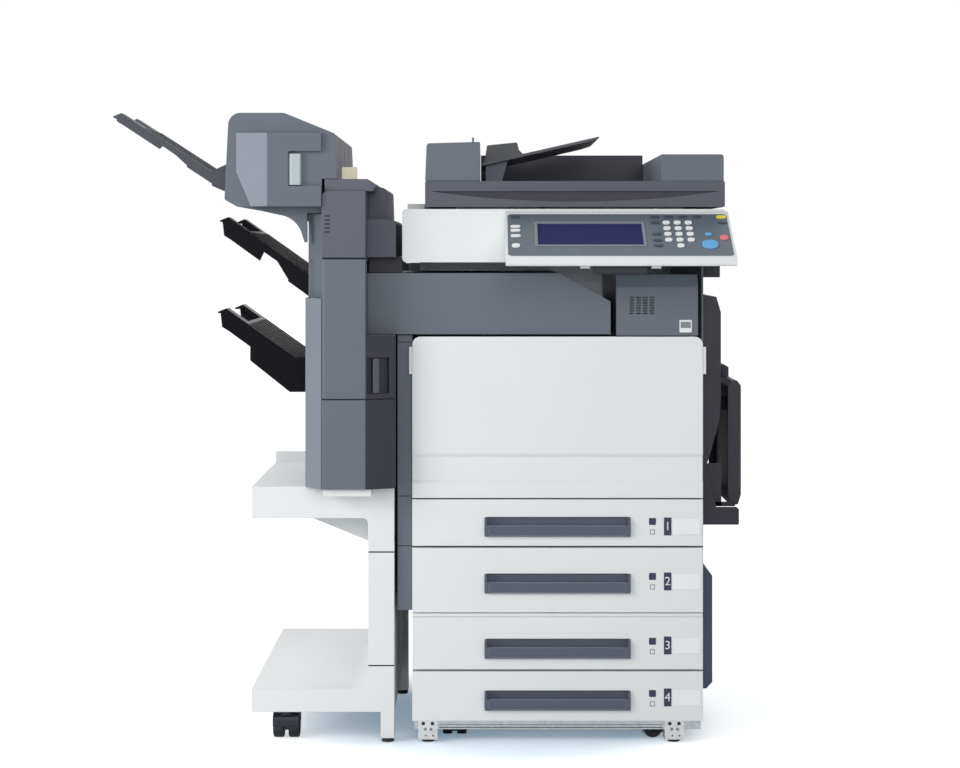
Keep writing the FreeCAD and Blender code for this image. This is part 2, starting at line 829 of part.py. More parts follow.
def front_upper_cover():
    """Dark cover at the right above the front door, folded back at its top, with the speaker grille."""
    piece = Piece("front_upper_cover")
    x = (S.column_left - GAP, S.upper_cover_right)
    face = S.front + 1.5
    back = frame_front - GAP
    low = deck_low + 1
    high = scanner_low - 24
    piece.prism("YZ", x, [(face, low), (back, low), (back, high), (face + S.upper_lean, high),
                          (face, low + S.upper_fold)])
    piece.block((x[0] + S.skin, x[1] - S.skin), (face + S.skin, back + 1), (low + S.skin, low + S.upper_fold - 4),
                cut=True)
    slots = []
    for column in range(4):
        for line in range(7):
            start = x[0] + S.grille_left + S.slot_pitch * column
            level = low + S.grille_rise + S.slot_rows_pitch * line
            slots.append(rectangle((start, start + S.slot_width), (level, level + S.slot_height)))
    piece.prism("XZ", (face - 1, face + S.skin + 1), *slots, cut=True)


def front_door():
    """Drop-down front door with rounded top corners, a hollow band and a finger pull at each side."""
    piece = Piece("front_door")
    back = S.front + S.door_thickness
    x = (S.fronts_left, fronts_right)
    piece.prism("XZ", (S.front, back), [
        (x[0], door_low), (x[1], door_low), (x[1], door_high, S.door_corner), (x[0], door_high, S.door_corner)])
    low = door_low + S.band_low
    high = door_low + S.band_high
    piece.prism("YZ", (x[0] - 1, x[1] + 1), [
        (S.front - 1, low), (S.front, low), (S.front + S.band_depth, low + S.band_slope),
        (S.front + S.band_depth, high - S.band_slope), (S.front, high), (S.front - 1, high)], cut=True)
    piece.block((x[0] + S.skin, x[1] - S.skin), (S.front + S.band_depth + S.skin, back + 1),
                (door_low + 7, door_high - S.door_corner), cut=True)
    ear = (door_high - S.ear_drop - S.ear_height, door_high - S.ear_drop)
    depth = (S.front + 1.5, S.front + 1.5 + S.ear_thickness)
    piece.block((x[0] - S.ear_width, x[0] + 1), depth, ear)
    piece.block((x[1] - 1, x[1] + S.ear_width), depth, ear)


def unit_places():
    """Left edge of each of the four colour units."""
    return [bay_left + S.unit_left + S.unit_pitch * index for index in range(4)]


def toner_cartridges():
    """Four toner cartridges, lying front to rear on the upper engine shelf."""
    piece = Piece("toner_cartridges")
    shelf = door_low + S.shelf_two_rise + GAP
    depth = (frame_front + 22, frame_front + 22 + S.unit_length)
    for left in unit_places():
        centre = left + S.drum_unit_width / 2
        piece.cylinder("y", (centre, shelf + S.toner_radius), S.toner_radius, depth)
        piece.block(about(centre, 24), (depth[0] - 8, depth[0] + 1), (shelf + S.toner_radius - 9, shelf + 52))


def imaging_units():
    """Four drum units on the lower engine shelf, and the transfer belt unit under it."""
    piece = Piece("imaging_units")
    shelf = door_low + S.shelf_one_rise + GAP
    depth = (frame_front + 24, frame_front + 24 + S.unit_length)
    for left in unit_places():
        span = (left, left + S.drum_unit_width)
        piece.block(span, depth, (shelf, shelf + S.drum_unit_height))
        piece.cylinder("y", (left + S.drum_unit_width / 2, shelf + S.drum_unit_height / 2), 15,
                       (depth[0] - 6, depth[0] + 1))
    floor = drawer_one_high + 0.8 + 1.5 + GAP
    left = bay_left + S.unit_left
    middle = floor + S.belt_unit_height / 2
    radius = S.belt_unit_height / 2
    belt = (left + radius, left + S.belt_unit_width - radius)
    piece.prism("XZ", depth, rectangle((left, left + S.belt_unit_width), (floor, floor + S.belt_unit_height),
                                       radius - 1))
    for end in belt:
        piece.cylinder("y", (end, middle), 8, (depth[0] - 9, depth[0] + 1))


def fuser_unit():
    """Fuser at the right of the drum units, and the laser writing unit that hangs under the deck."""
    piece = Piece("fuser_unit")
    shelf = door_low + S.shelf_one_rise + GAP
    right = bay_right - 9
    left = right - S.fuser_width
    depth = (frame_front + 24, frame_front + 24 + S.unit_length)
    piece.block((left, right), depth, (shelf, shelf + S.shelf_two_rise - S.shelf_one_rise - 2 - 2 * GAP))
    low, high = laser_unit_span()
    start = unit_places()[0]
    piece.block((start, start + 3 * S.unit_pitch + S.drum_unit_width), depth, (low, high))


def side_door():
    """Duplex and transport unit on the right side, which swings open, with the arm of the bypass tray."""
    piece = Piece("side_door")
    inner = side_face + 0.8
    outer = inner + S.side_door_bulge
    low = S.side_door_low
    high = S.side_door_high
    depth = (S.side_door_front, S.side_door_front + S.side_door_depth)
    piece.prism("XZ", depth, [
        (inner, low), (inner + 15, low + 43, 60), (outer - 3, low + 112, 60), (outer, low + 150, 40),
        (outer, high - 34, 3), (outer - 9, high - 3, 4), (inner, high)])
    arm = (S.arm_low, S.arm_low + S.arm_height)
    start = S.side_door_front + 10
    for front in (start, start + S.bypass_width + 48):
        piece.prism("XZ", (front, front + 22), [
            (inner, arm[0]), (inner + S.arm_reach, arm[0], 3), (inner + S.arm_reach, arm[1], 3),
            (inner + 30, arm[1]), (inner + 8, low + 12), (inner, low + 12)])
    piece.block((inner, inner + 6), (start, start + S.bypass_width + 70), (arm[0], low + 12))


def bypass_tray():
    """Fold-down bypass tray, stood up against the side door, with its hook at the top."""
    piece = Piece("bypass_tray")
    outer = side_face + 0.8 + S.arm_reach + 8.5
    inner = outer - S.bypass_thickness
    low = S.arm_low + S.arm_height + 3
    high = low + S.bypass_height
    depth = (S.bypass_front, S.bypass_front + S.bypass_width)
    piece.prism("XZ", depth, [
        (inner + 3, low), (outer - 6, low, 3), (outer, low + 20, 6), (outer, high - 10, 8), (outer - 8, high, 4),
        (inner + 9, high, 4), (inner, high - 12, 6), (inner, low + 25, 6)])
    piece.block((inner - 10, inner + 12), (depth[0] + 8, depth[1] - 8), (low + 10, high - 30), cut=True)
    hook = about((inner + outer) / 2, 13)
    middle = about((depth[0] + depth[1]) / 2, 46)
    piece.prism("XZ", middle, [
        (hook[0], high - 2), (hook[1], high - 2), (hook[1], high + S.bypass_lip - 6, 3),
        (hook[0] + 3, high + S.bypass_lip, 2), (hook[0] - 3, high + S.bypass_lip - 6, 1)])
    reach = side_face + 0.8 + S.side_door_bulge + 0.4
    piece.block((reach, inner + 14), about((depth[0] + depth[1]) / 2, 60), (high - 70, high - 46))


def side_feed_door():
    """Jam door of the cabinet's paper path, low on the right side."""
    piece = Piece("side_feed_door")
    inner = side_face + 0.8
    outer = inner + S.feed_door_bulge
    low = S.feed_door_low
    high = S.feed_door_high
    depth = (S.side_door_front, S.side_door_front + S.feed_door_depth)
    piece.prism("XZ", depth, [
        (inner, low), (inner + 8, low), (outer, low + 13, 3), (outer, high - 23, 4), (inner, high)])
    piece.block((inner - 1, outer - S.skin), (depth[0] + S.skin, depth[1] - S.skin), (low + 15, high - 32), cut=True)


def relay_outline(inset):
    """Front outline of the relay unit: level at the left, falling away to the right."""
    low = deck_high + S.relay_rise + inset
    high = deck_high + S.relay_rise + S.relay_height - inset
    left = S.relay_left + inset
    right = S.relay_right - inset
    return [(left, low), (right, low), (right, low + S.relay_end_height - inset * 2),
            (right - S.relay_slope_start, high, 24), (left, high)]


def relay_unit():
    """Body of the relay unit that carries sheets from the printer to the tower, with its two rollers."""
    piece = Piece("relay_unit")
    front = S.front + S.relay_cover_thickness + GAP
    back = S.front + S.relay_depth
    low = deck_high + S.relay_rise
    piece.prism("XZ", (front, back), relay_outline(0))
    duct = (low + 5, low + 5 + S.relay_duct)
    piece.block((S.relay_left - 1, S.relay_right + 1), (front + S.skin, back - S.skin), duct, cut=True)
    for x in (S.relay_left + 40, (S.relay_left + S.relay_right) / 2, S.relay_right - 40):
        piece.cylinder("y", (x, low + 5 + S.relay_duct / 2), S.roller_radius,
                       (front + S.skin + GAP, back - S.skin - GAP))


def relay_cover():
    """Front cover of the relay unit, which drops open for clearing a jam."""
    piece = Piece("relay_cover")
    outline = relay_outline(0)
    front = S.front
    back = S.front + S.relay_cover_thickness
    piece.prism("XZ", (front, back), outline)
    low = deck_high + S.relay_rise


def scanner_housing():
    """White scanner housing with its glass window, carriage ledges and the stay under its right end."""
    piece = Piece("scanner_housing")
    x = (S.scanner_left, scanner_right)
    y = (S.front, scanner_rear)
    z = (scanner_low, scanner_high)
    piece.prism("XZ", y, [(x[0], z[0], S.scanner_corner), (x[1], z[0], S.scanner_corner),
                          (x[1], z[1], S.scanner_corner), (x[0], z[1], S.scanner_corner)])
    roof = z[1] - S.glass_thickness - 1
    inside_y = (y[0] + S.skin, y[1] - S.skin)
    piece.block((x[0] + S.skin, x[1] - S.skin), inside_y, (z[0] + S.skin, roof), cut=True)
    window_x = (x[0] + S.window_left, x[0] + S.window_left + S.window_width)
    window_y = (y[0] + S.window_front, y[0] + S.window_front + S.window_depth)
    piece.block(window_x, window_y, (roof - 1, z[1] + 1), cut=True)
    for ledge in ((inside_y[0] - 1, inside_y[0] + S.ledge_width), (inside_y[1] - S.ledge_width, inside_y[1] + 1)):
        piece.block((x[0] + S.skin - 1, x[1] - S.skin + 1), ledge, (z[0] + S.skin - 1, z[0] + S.ledge_height))
    shoulder = (x[0] + 7, x[0] + 7 + S.shoulder_width)
    piece.block(shoulder, (y[0] + 88, y[1] - 10), (z[1] - 1, z[1] + S.shoulder_height))
    stay = (side_face + 1, side_face + 1 + S.stay_width)
    piece.block(stay, (y[0] + 57, y[1] - 50), (z[0] - S.stay_height, z[0] + 1))
    for start in about(S.panel_left + S.panel_width / 2, S.panel_width / 2):
        piece.block(about(start, 22), (y[0] - S.panel_gap + GAP, y[0] + 1), (z[0] + 46, z[0] + 70))


def platen_glass():
    """Flat glass that the original lies on."""
    piece = Piece("platen_glass")
    x = (S.scanner_left + S.window_left + GAP, S.scanner_left + S.window_left + S.window_width - GAP)
    y = (S.front + S.window_front + GAP, S.front + S.window_front + S.window_depth - GAP)
    piece.block(x, y, (scanner_high - S.glass_thickness - 0.2, scanner_high - 0.2))


def scan_carriages():
    """Lamp carriage and the mirror carriage that follows it at half speed, both on the ledges."""
    y = (S.front + S.skin + GAP, scanner_rear - S.skin - GAP)
    low = scanner_low + S.ledge_height + GAP
    mirror_left = S.scanner_left + S.skin + 4
    lamp_left = mirror_left + S.mirror_width + 4
    for name, left, width in (("scan_carriage", lamp_left, S.carriage_width),
                              ("mirror_carriage", mirror_left, S.mirror_width)):
        piece = Piece(name)
        piece.block((left, left + width), y, (low, low + S.carriage_height))
        piece.block((left + 8, left + width - 8), (y[0] + 20, y[1] - 20), (low + 12, low + S.carriage_height + 1),
                    cut=True)


def feeder_lens(piece):
    """Lens-shaped hollow along the feeder's front: flat above, an arc below."""
    front = S.front
    level = feeder_high - S.fascia_line
    half = S.feeder_width / 2 - S.lens_inset
    middle = S.feeder_left + S.feeder_width / 2
    radius = (half * half + S.lens_sag * S.lens_sag) / (2 * S.lens_sag)
    sketch = piece.sketch("XZ", front - 1)
    ends = [FreeCAD.Vector((middle + side * half).value, level.value, 0) for side in (-1, 1)]
    lowest = FreeCAD.Vector(middle.value, (level - S.lens_sag).value, 0)
    chord = sketch.addGeometry(Part.LineSegment(*ends), False)
    arc = sketch.addGeometry(Part.Arc(ends[0], lowest, ends[1]), False)
    starts_left = (sketch.Geometry[arc].StartPoint - ends[0]).Length < 1e-6
    left_end, right_end = (1, 2) if starts_left else (2, 1)
    sketch.addConstraint([
        Sketcher.Constraint("Coincident", chord, 1, arc, left_end),
        Sketcher.Constraint("Coincident", chord, 2, arc, right_end),
        Sketcher.Constraint("DistanceX", -1, 1, chord, 1, ends[0].x),
        Sketcher.Constraint("DistanceX", -1, 1, chord, 2, ends[1].x),
        Sketcher.Constraint("DistanceY", -1, 1, chord, 1, level.value),
        Sketcher.Constraint("Horizontal", chord),
        Sketcher.Constraint("Radius", arc, radius.value),
    ])
    for index, size in ((2, middle - half), (3, middle + half), (4, level), (6, radius)):
        sketch.setExpression(f"Constraints[{index}]", size.text)
    piece.extrude(sketch, S.lens_depth + 1, False, cut=True)


def adf_base():
    """Body of the document feeder, which is also the scanner's lid, with its white pad underneath."""
    piece = Piece("adf_base")
    x = (S.feeder_left, feeder_right)
    y = (S.front, S.front + S.feeder_depth)
    block_y = (S.front + 2.5, S.front + 2.5 + S.feeder_block_depth)
    piece.prism("XZ", y, rectangle(x, (feeder_low, feeder_high), 3))
    right = (x[1] - 2 - S.right_block_width, x[1] - 2)
    right_high = feeder_high + S.right_block_height
    seat = feeder_high + GAP
    piece.prism("XZ", block_y, [(right[0], seat), (right[1], seat), (right[1], right_high, 6), (right[0], right_high)])
    left_end = x[0] + S.feed_cover_width + 1
    wall = (block_y[1] - S.back_wall_thickness, block_y[1])
    piece.block((left_end, right[0] - GAP), wall, (seat, feeder_high + S.back_wall_height))
    piece.block((x[0] + S.skin, x[1] - S.skin), (y[0] + S.lens_depth + S.skin, y[1] - S.skin),
                (feeder_low - 1, feeder_high - S.skin), cut=True)
    piece.block((right[0] + S.skin, right[1] - S.skin), (block_y[0] + S.skin, block_y[1] - S.skin),
                (seat - GAP / 2, right_high - S.skin), cut=True)
    feeder_lens(piece)
    frame = (x[0] + 12, x[0] + S.feed_cover_width - 24)
    plates = ((block_y[0] + 8, block_y[0] + 12), (block_y[1] - 12, block_y[1] - 8))
    for plate in plates:
        piece.block(frame, plate, (seat, feeder_high + S.feed_cover_height - 16))
    piece.block(frame, (plates[0][0], plates[1][1]), (seat, feeder_high + 26))
    for place in (frame[0] + 20, frame[1] - 20):
        piece.cylinder("y", (place, feeder_high + 26 + GAP + 13), 13, (plates[0][1] + GAP, plates[1][0] - GAP))
    for front in (S.document_front + 12, S.document_front + S.document_width - 24):
        foot = S.document_left + 8
        slope = S.document_rise / S.document_run
        root = feeder_high + S.document_root - 0.5
        piece.prism("XZ", (front, front + 12), [
            (foot, seat), (foot + S.bracket_run - 12, seat),
            (foot + S.bracket_run, root + slope * (S.bracket_run + 8)), (foot, root + slope * 8)])
    inside = (x[0] + S.skin + GAP, x[1] - S.skin - GAP)
    piece.block(inside, (y[0] + S.lens_depth + S.skin + GAP, y[1] - S.skin - GAP), (feeder_low, feeder_low + 3))
    pad_x = (S.scanner_left + S.window_left - 5, S.scanner_left + S.window_left + S.window_width + 5)
    pad_y = (S.front + S.window_front - 5, S.front + S.window_front + S.window_depth + 5)
    piece.block(pad_x, pad_y, (feeder_low - GAP - S.pad_height, feeder_low - GAP))


def adf_feed_cover():
    """Cover over the feed rollers at the left of the document feeder, hinged along its left edge."""
    piece = Piece("adf_feed_cover")
    x = (S.feeder_left, S.feeder_left + S.feed_cover_width)
    y = (S.front + 2.5, S.front + 2.5 + S.feeder_block_depth)
    low = feeder_high + GAP
    high = low + S.feed_cover_height
    piece.prism("XZ", y, [(x[0], low, 3), (x[1], low), (x[1], high, 3), (x[0] + 3, high - 3, 6)])
    piece.block((x[0] + S.skin + 2, x[1] - S.skin), (y[0] + S.skin, y[1] - S.skin), (low - 1, high - S.skin - 3),
                cut=True)
    piece.cylinder("z", (x[1] - 14, y[0] + 12), 2, (high - 2, high + 9))


def document_line(along, lift):
    """A point of the document tray's top: along its run from the root, lifted square to the floor."""
    slope = S.document_rise / S.document_run
    return S.document_left + along, feeder_high + S.document_root + slope * along + lift


def document_tray():
    """Sloping tray that the originals are laid on; it lifts about its root."""
    piece = Piece("document_tray")
    depth = (S.document_front, S.document_front + S.document_width)
    piece.prism("XZ", depth, [
        document_line(0, 0), document_line(S.document_run - 22, 0), (*document_line(S.document_run, 2), 3),
        document_line(S.document_run, S.document_thickness), document_line(0, S.document_thickness)])


def document_guides():
    """The two side guides on the document tray, which centre the originals."""
    sides = (("document_guide_front", -1, S.front_guide_height), ("document_guide_rear", 1, S.rear_guide_height))
    middle = S.document_front + S.document_width / 2
    for name, side, height in sides:
        piece = Piece(name)
        place = middle + side * S.guide_offset
        lift = S.document_thickness + GAP
        foot = about(place - side * 18, 40)
        piece.prism("XZ", foot, [document_line(8, lift), document_line(S.guide_length, lift),
                                 document_line(S.guide_length, lift + 2.5), document_line(8, lift + 2.5)])
        piece.prism("XZ", about(place, S.guide_thickness), [
            document_line(4, lift), document_line(S.guide_length, lift),
            (*document_line(S.guide_length - 9, lift + height - 8), 3),
            (*document_line(4 + S.guide_lean, lift + height), 3)])


def panel_slope():
    """Length of the control panel's face, up the slope."""
    return square_root(S.panel_run * S.panel_run + S.panel_rise * S.panel_rise)


def key_outline(x, up, width, length, margin=0):
    """A key's outline with well rounded corners, or its hole when there is a margin."""
    rounding = (as_size(width) if width.value < length.value else as_size(length)) * 0.46 + margin
    return rectangle(about(x, width + 2 * margin), about(up, length + 2 * margin), rounding)


def small_keys():
    """Every key apart from start and stop: place along x, place up the slope, width and length."""
    keys = []
    for column in range(3):
        for line in range(4):
            keys.append((S.keypad_x + S.key_pitch * column, S.keypad_low + S.key_row * line, S.key_width,
                         S.key_length))
    keys.append((S.keypad_x + S.key_pitch, S.keypad_low - S.key_row, S.key_width, S.key_length))
    function_width = S.key_width + 3
    function_length = S.key_length * 0.6
    top = S.keypad_low + S.key_row * 4
    for column in range(4):
        keys.append((S.keypad_x - S.key_pitch + 27.2 * column, top, function_width, function_length))
    for line in (-0.95, -0.05, 1, 3):
        keys.append((S.keypad_x - S.key_pitch, S.keypad_low + S.key_row * line, function_width, function_length))
    keys.append((S.stop_x + 2, top, function_width + 2, function_length + 3))
    keys.append((S.stop_x + 2, top - S.key_row, function_width, function_length))
    keys.append((S.start_x, S.start_up + 36, S.key_width - 1, S.key_length - 1))
    left = S.panel_left + 19
    keys.append((left, top, function_width, function_length))
    for up in (S.keypad_low + 14, S.keypad_low + 34, S.keypad_low + 48):
        keys.append((left, up, S.key_width + 5, S.key_length * 0.7))
    keys.append((left, S.keypad_low - S.key_row, S.key_width + 2, S.key_length + 1))
    return keys


def panel_face():
    """Span of the dark face plate along x and up the slope."""
    slope = panel_slope()
    return (S.panel_left + S.face_margin, S.panel_left + S.panel_width - S.face_margin), (
        as_size(S.face_margin), slope - S.face_margin)


def panel_housing():
    """Tilting housing of the control panel, with a seat for the face plate and room for the keys."""
    piece = Piece("panel_housing")
    x = (S.panel_left, S.panel_left + S.panel_width)
    foot = S.front - S.panel_reach
    heel = S.front - S.panel_gap
    low = S.panel_foot - S.panel_apron
    top = S.panel_foot + (heel - foot) * S.panel_rise / S.panel_run
    piece.prism("YZ", x, [(foot, S.panel_foot, 2), (foot, low, 5), (foot + S.panel_belly, low, 8),
                          (heel, low + S.panel_heel, 3), (heel, top, 2)])
    across, up = panel_face()
    seat = -(S.face_thickness + GAP)
    piece.face_prism((seat, as_size(5)), rectangle(across, up, 8), cut=True)
    keypad = (S.keypad_x - S.key_pitch - 14, across[1] - 1)
    keys = (up[0] + 9, up[1] - 4)
    left = (across[0] + 3, S.panel_left + 34)
    screen = (S.screen_left - 3, S.screen_left + S.screen_width + 3)
    screen_up = (S.screen_low - 3, S.screen_low + S.screen_length + 3)
    piece.face_prism((seat - S.key_room, seat + 1), rectangle(keypad, keys), rectangle(left, keys),
                     rectangle(screen, screen_up), cut=True)
    for start in (S.lever_left - 24, S.lever_left + S.lever_width + 8):
        piece.block((start, start + 18), (foot + S.lever_inset, foot + S.lever_inset + 14), (low - 5, low + 1))


def face_plate():
    """Dark face plate of the control panel with its key holes, and the screen as a solid of its own."""
    piece = Piece("panel_face")
    across, up = panel_face()
    edge = (across[0] + GAP, across[1] - GAP)
    slope = (up[0] + GAP, up[1] - GAP)
    piece.face_prism((-S.face_thickness, as_size(0)), rectangle(edge, slope, 8))
    holes = [key_outline(*key, margin=GAP) for key in small_keys()]
    holes.append(key_outline(S.start_x, S.start_up, S.start_size, S.start_size, margin=GAP))
    holes.append(key_outline(S.stop_x, S.stop_up, S.stop_size, S.stop_size, margin=GAP))
    screen = rectangle((S.screen_left, S.screen_left + S.screen_width),
                       (S.screen_low, S.screen_low + S.screen_length), 2)
    piece.face_prism((-S.face_thickness - 1, as_size(1)), *holes, screen, cut=True)
    glass = rectangle((S.screen_left + GAP, S.screen_left + S.screen_width - GAP),
                      (S.screen_low + GAP, S.screen_low + S.screen_length - GAP), 2)
    piece.face_prism((-S.face_thickness - GAP, as_size(-1)), glass)


def panel_keys():
    """The number and function keys, the start key and the stop key."""
    span = (-S.face_thickness - 2, as_size(S.key_proud))
    keys = Piece("panel_keys")
    keys.face_prism(span, *[key_outline(*key) for key in small_keys()])
    start = Piece("start_key")
    start.face_prism(span, key_outline(S.start_x, S.start_up, S.start_size, S.start_size))
    stop = Piece("stop_key")
    stop.face_prism(span, key_outline(S.stop_x, S.stop_up, S.stop_size, S.stop_size))


def panel_lever():
    """Tilt release lever under the control panel."""
    piece = Piece("panel_lever")
    foot = S.front - S.panel_reach + S.lever_inset
    top = S.panel_foot - S.panel_apron - GAP
    x = (S.lever_left, S.lever_left + S.lever_width)
    piece.prism("YZ", x, [(foot, top - S.lever_height, 3), (foot + S.lever_depth, top - S.lever_height, 3),
                          (foot + S.lever_depth, top, 2), (foot, top, 2)])


def facet(x, setback=0):
    """Depth of the tower's right-hand facet at a place along x."""
    slope = (S.tower_right_front - S.tower_front) / (S.tower_right - S.tower_turn)
    return S.tower_front + (as_size(x) - S.tower_turn) * slope + setback


def tower_housing():
    """Casing of the finisher tower: facets, walls, the fixed lower front, its frame plate and rollers."""
    piece = Piece("tower_housing")
    skin = S.skin
    low = S.tower_low
    left = S.tower_left
    edge = S.tower_middle - GAP
    shoulder = S.tower_shoulder
    wall_top = shoulder + S.tower_side_height + 89
    thick = S.tower_door_thickness + 5
    piece.prism("XY", (low, shoulder), [
        (left, S.tower_left_front, 4), (edge, S.tower_front, 2), (edge, S.tower_front + thick),
        (left, S.tower_left_front + 16)])
    piece.block((left, left + skin), (S.tower_left_front + 16 + GAP, S.tower_rear), (low, shoulder))
    back = S.tower_recess
    inner = left + skin
    piece.prism("XY", (shoulder + GAP, wall_top), [
        (inner, S.tower_left_front + back, 3), (edge, S.tower_front + back), (edge, S.tower_front + back + thick),
        (inner, S.tower_left_front + back + 22)])
    piece.block((inner, inner + skin), (S.tower_left_front + back + 22 + GAP, S.tower_rear),
                (shoulder + GAP, wall_top))
    top = S.tower_door_top
    inside = inner + skin + GAP
    piece.block((inside, S.tower_right), (S.tower_rear - skin, S.tower_rear), (low, top - GAP))
    wall_front = S.tower_right_front + thick - 7
    right_wall = (S.tower_right - skin, S.tower_right)
    piece.block(right_wall, (wall_front, S.tower_rear - skin - GAP), (low, deck_high))
    frame = (S.tower_front + 48, S.tower_front + 51)
    piece.block((inside, right_wall[0] - GAP), (frame[0], S.tower_rear - skin - GAP), (low, low + skin))
    piece.prism("XY", (low, S.tower_joint - GAP), [
        (S.tower_middle, S.tower_front, 2), (S.tower_turn, S.tower_front), (S.tower_right, S.tower_right_front, 3),
        (S.tower_right, S.tower_right_front + 15), (S.tower_turn, S.tower_front + thick),
        (S.tower_middle, S.tower_front + thick)])
    piece.block((inside, S.tower_turn), (frame[1] + GAP, S.tower_rear - skin - GAP), (top - 4 - GAP, top - GAP))
    plate_right = right_wall[0] - GAP
    plate = (low + skin + GAP, top - 4 - 2 * GAP)
    piece.prism("XZ", frame, [
        (inside, plate[0]), (plate_right, plate[0]), (plate_right, deck_high - GAP),
        (S.tower_turn, deck_high - GAP), (S.tower_turn, plate[1]), (inside, plate[1])])
    for level in (low + 90, low + 250, low + 400):
        piece.cylinder("y", (S.tower_turn - 34, level), S.roller_radius,
                       (frame[1] + GAP, S.tower_rear - skin - GAP))


def tower_door():
    """Front door of the tower: a flat facet and a slanted one with the hand grip."""
    piece = Piece("tower_door")
    low = S.tower_joint
    front = S.tower_front
    thick = S.tower_door_thickness
    corner = (S.tower_middle, front, S.tower_hinge_corner)
    slant_top = deck_high - 1.5
    piece.prism("XY", (low, slant_top), [
        corner, (S.tower_turn, front), (S.tower_right, S.tower_right_front, 3),
        (S.tower_right, S.tower_right_front + 14), (S.tower_turn, front + thick),
        (S.tower_middle, front + thick)])
    piece.prism("XY", (slant_top - 1, S.tower_door_top - 0.5), [
        corner, (S.tower_turn, front), (S.tower_turn, front + thick), (S.tower_middle, front + thick)])
    grip = (S.grip_left, S.grip_left + S.grip_width)
    piece.prism("XY", (S.grip_low, S.grip_low + S.grip_height), [
        (grip[0], front - 5), (grip[1], front - 5), (grip[1], facet(grip[1], S.grip_depth)),
        (grip[0], facet(grip[0], S.grip_depth))], cut=True)


def tower_upper_housing():
    """Casings above the tower door: the upper block, its cap, and the two blocks at its right."""
    piece = Piece("tower_upper_housing")
    y = (S.tower_front, S.tower_front + S.tower_upper_depth)
    x = (S.tower_middle, S.tower_turn)
    low = S.tower_door_top + 0.5
    high = low + S.tower_upper_height
    piece.prism("XZ", y, [(x[0], low), (x[1], low), (x[1], high), (x[0], high, 11)])
    piece.block((x[0] + S.skin, x[1] - S.skin), (y[0] + S.skin, y[1] - S.skin), (low - 1, high - S.skin), cut=True)
    side = (S.tower_turn + GAP, S.tower_right + 0.5)
    side_y = (S.front, y[1])
    side_low = low + 3
    side_high = side_low + S.tower_side_height
    piece.prism("XZ", side_y, [(side[0], side_low), (side[1], side_low), (side[1], side_high, 14),
                               (side[0], side_high)])
    piece.block((side[0] + S.skin, side[1] - S.skin), (side_y[0] + S.skin, y[1] - S.skin),
                (side_low - 1, side_high - S.skin), cut=True)
    back_high = side_high + S.tower_back_height - 4
    piece.prism("XZ", (side_y[0] + 38, y[1]), [
        (side[0], side_high + GAP), (side[0] + 37, side_high + GAP), (side[0] + 35, back_high, 9),
        (side[0], back_high)])
    cap_low = high + GAP
    cap_high = cap_low + S.tower_cap_height
    piece.prism("XZ", (y[0] + 6, y[1]), [
        (x[0] + 5, cap_low), (x[1] + 14, cap_low), (x[1] + 20, cap_low + 11), (x[1] + 4, cap_high), (x[0] + 5, cap_high)])


def head_step():
    """Underside of the head where it passes over the tower's cap."""
    cap = S.tower_door_top + 0.5 + S.tower_upper_height + GAP + S.tower_cap_height
    return cap + 0.6


def head_outline(inset):
    """Front outline of the fold head, or the same outline drawn in by an inset."""
    low = S.head_low + inset
    high = S.head_low + S.head_height - inset
    left = S.head_left + inset
    return [(left, low + 14, 5), (left + 25, low, 4), (S.tower_middle - GAP - inset, low),
            (S.tower_middle - GAP - inset, head_step() + inset), (S.tower_middle + 29 - inset, head_step() + inset),
            (S.tower_middle + 25 - inset, high - 40, 6), (S.tower_middle - 73, high, 24), (left + 8, high, 24)]


def head_housing():
    """Casing of the fold head, banded by grooves, and the two arms that carry it on the tower."""
    piece = Piece("head_housing")
    front = S.head_front + S.head_cover_thickness + GAP
    back = S.head_front + S.head_depth
    band = (back - front) / 4
    piece.prism("XZ", (front + 1, back - 1), head_outline(S.head_inset))
    for index in range(4):
        start = front + band * index
        end = start + band - (S.head_groove if index < 3 else 0)
        piece.prism("XZ", (start, end), head_outline(0))
    inside = (S.head_left + 18, S.tower_middle - 14)
    piece.block(inside, (front + S.skin, back - S.skin), (S.head_low + 12, S.head_low + S.head_height - 30), cut=True)
    slot = (S.head_low + 62, S.head_low + 76)
    piece.block((S.head_left - 2, inside[0] + 1), (S.top_tray_front, S.top_tray_front + S.top_tray_width), slot,
                cut=True)
    top = S.head_low - GAP
    arm_right = S.tower_left + S.skin - GAP
    foot = S.tower_shoulder + 108
    for start in (front + 34, back - 60):
        piece.prism("XZ", (start, start + S.arm_thickness), [
            (S.tower_middle - 128, top), (S.tower_middle - 1, top), (S.tower_middle - 1, top - 11),
            (arm_right, top - 11), (arm_right, foot), (arm_right - 5, foot), (arm_right - 20, top - 22, 50),
            (S.tower_middle - 120, top - 7)])


def head_cover():
    """Front cover of the head: C-shaped round the latch, its left part turned towards the side."""
    piece = Piece("head_cover")
    left = S.head_left + 23
    right = S.tower_middle - 1
    back = S.head_front + S.head_cover_thickness
    low = S.head_low + 1
    high = S.head_low + S.head_height - 39
    piece.prism("XY", (low, high), [
        (left, back), (left, back - 2), (left + 60, S.head_front), (right, S.head_front), (right, back)])
    piece.prism("XZ", (S.head_front - 1, back + 1), [
        (left - 1, low + 66), (left, low + 66), (left + 28, low), (left + 28, low - 1), (left - 1, low - 1)], cut=True)
    piece.prism("XZ", (S.head_front - 1, back + 1), [
        (latch_left() - GAP, latch_low() - GAP - 2, 3), (right + 1, latch_low() - GAP - 2),
        (right + 1, latch_low() + S.latch_height + 5), (latch_left() - GAP, latch_low() + S.latch_height + 5, 3)],
        cut=True)


def latch_left():
    """Left edge of the head cover's latch."""
    return S.tower_middle - 64


def latch_low():
    """Lower edge of the head cover's latch."""
    return S.head_low + 42


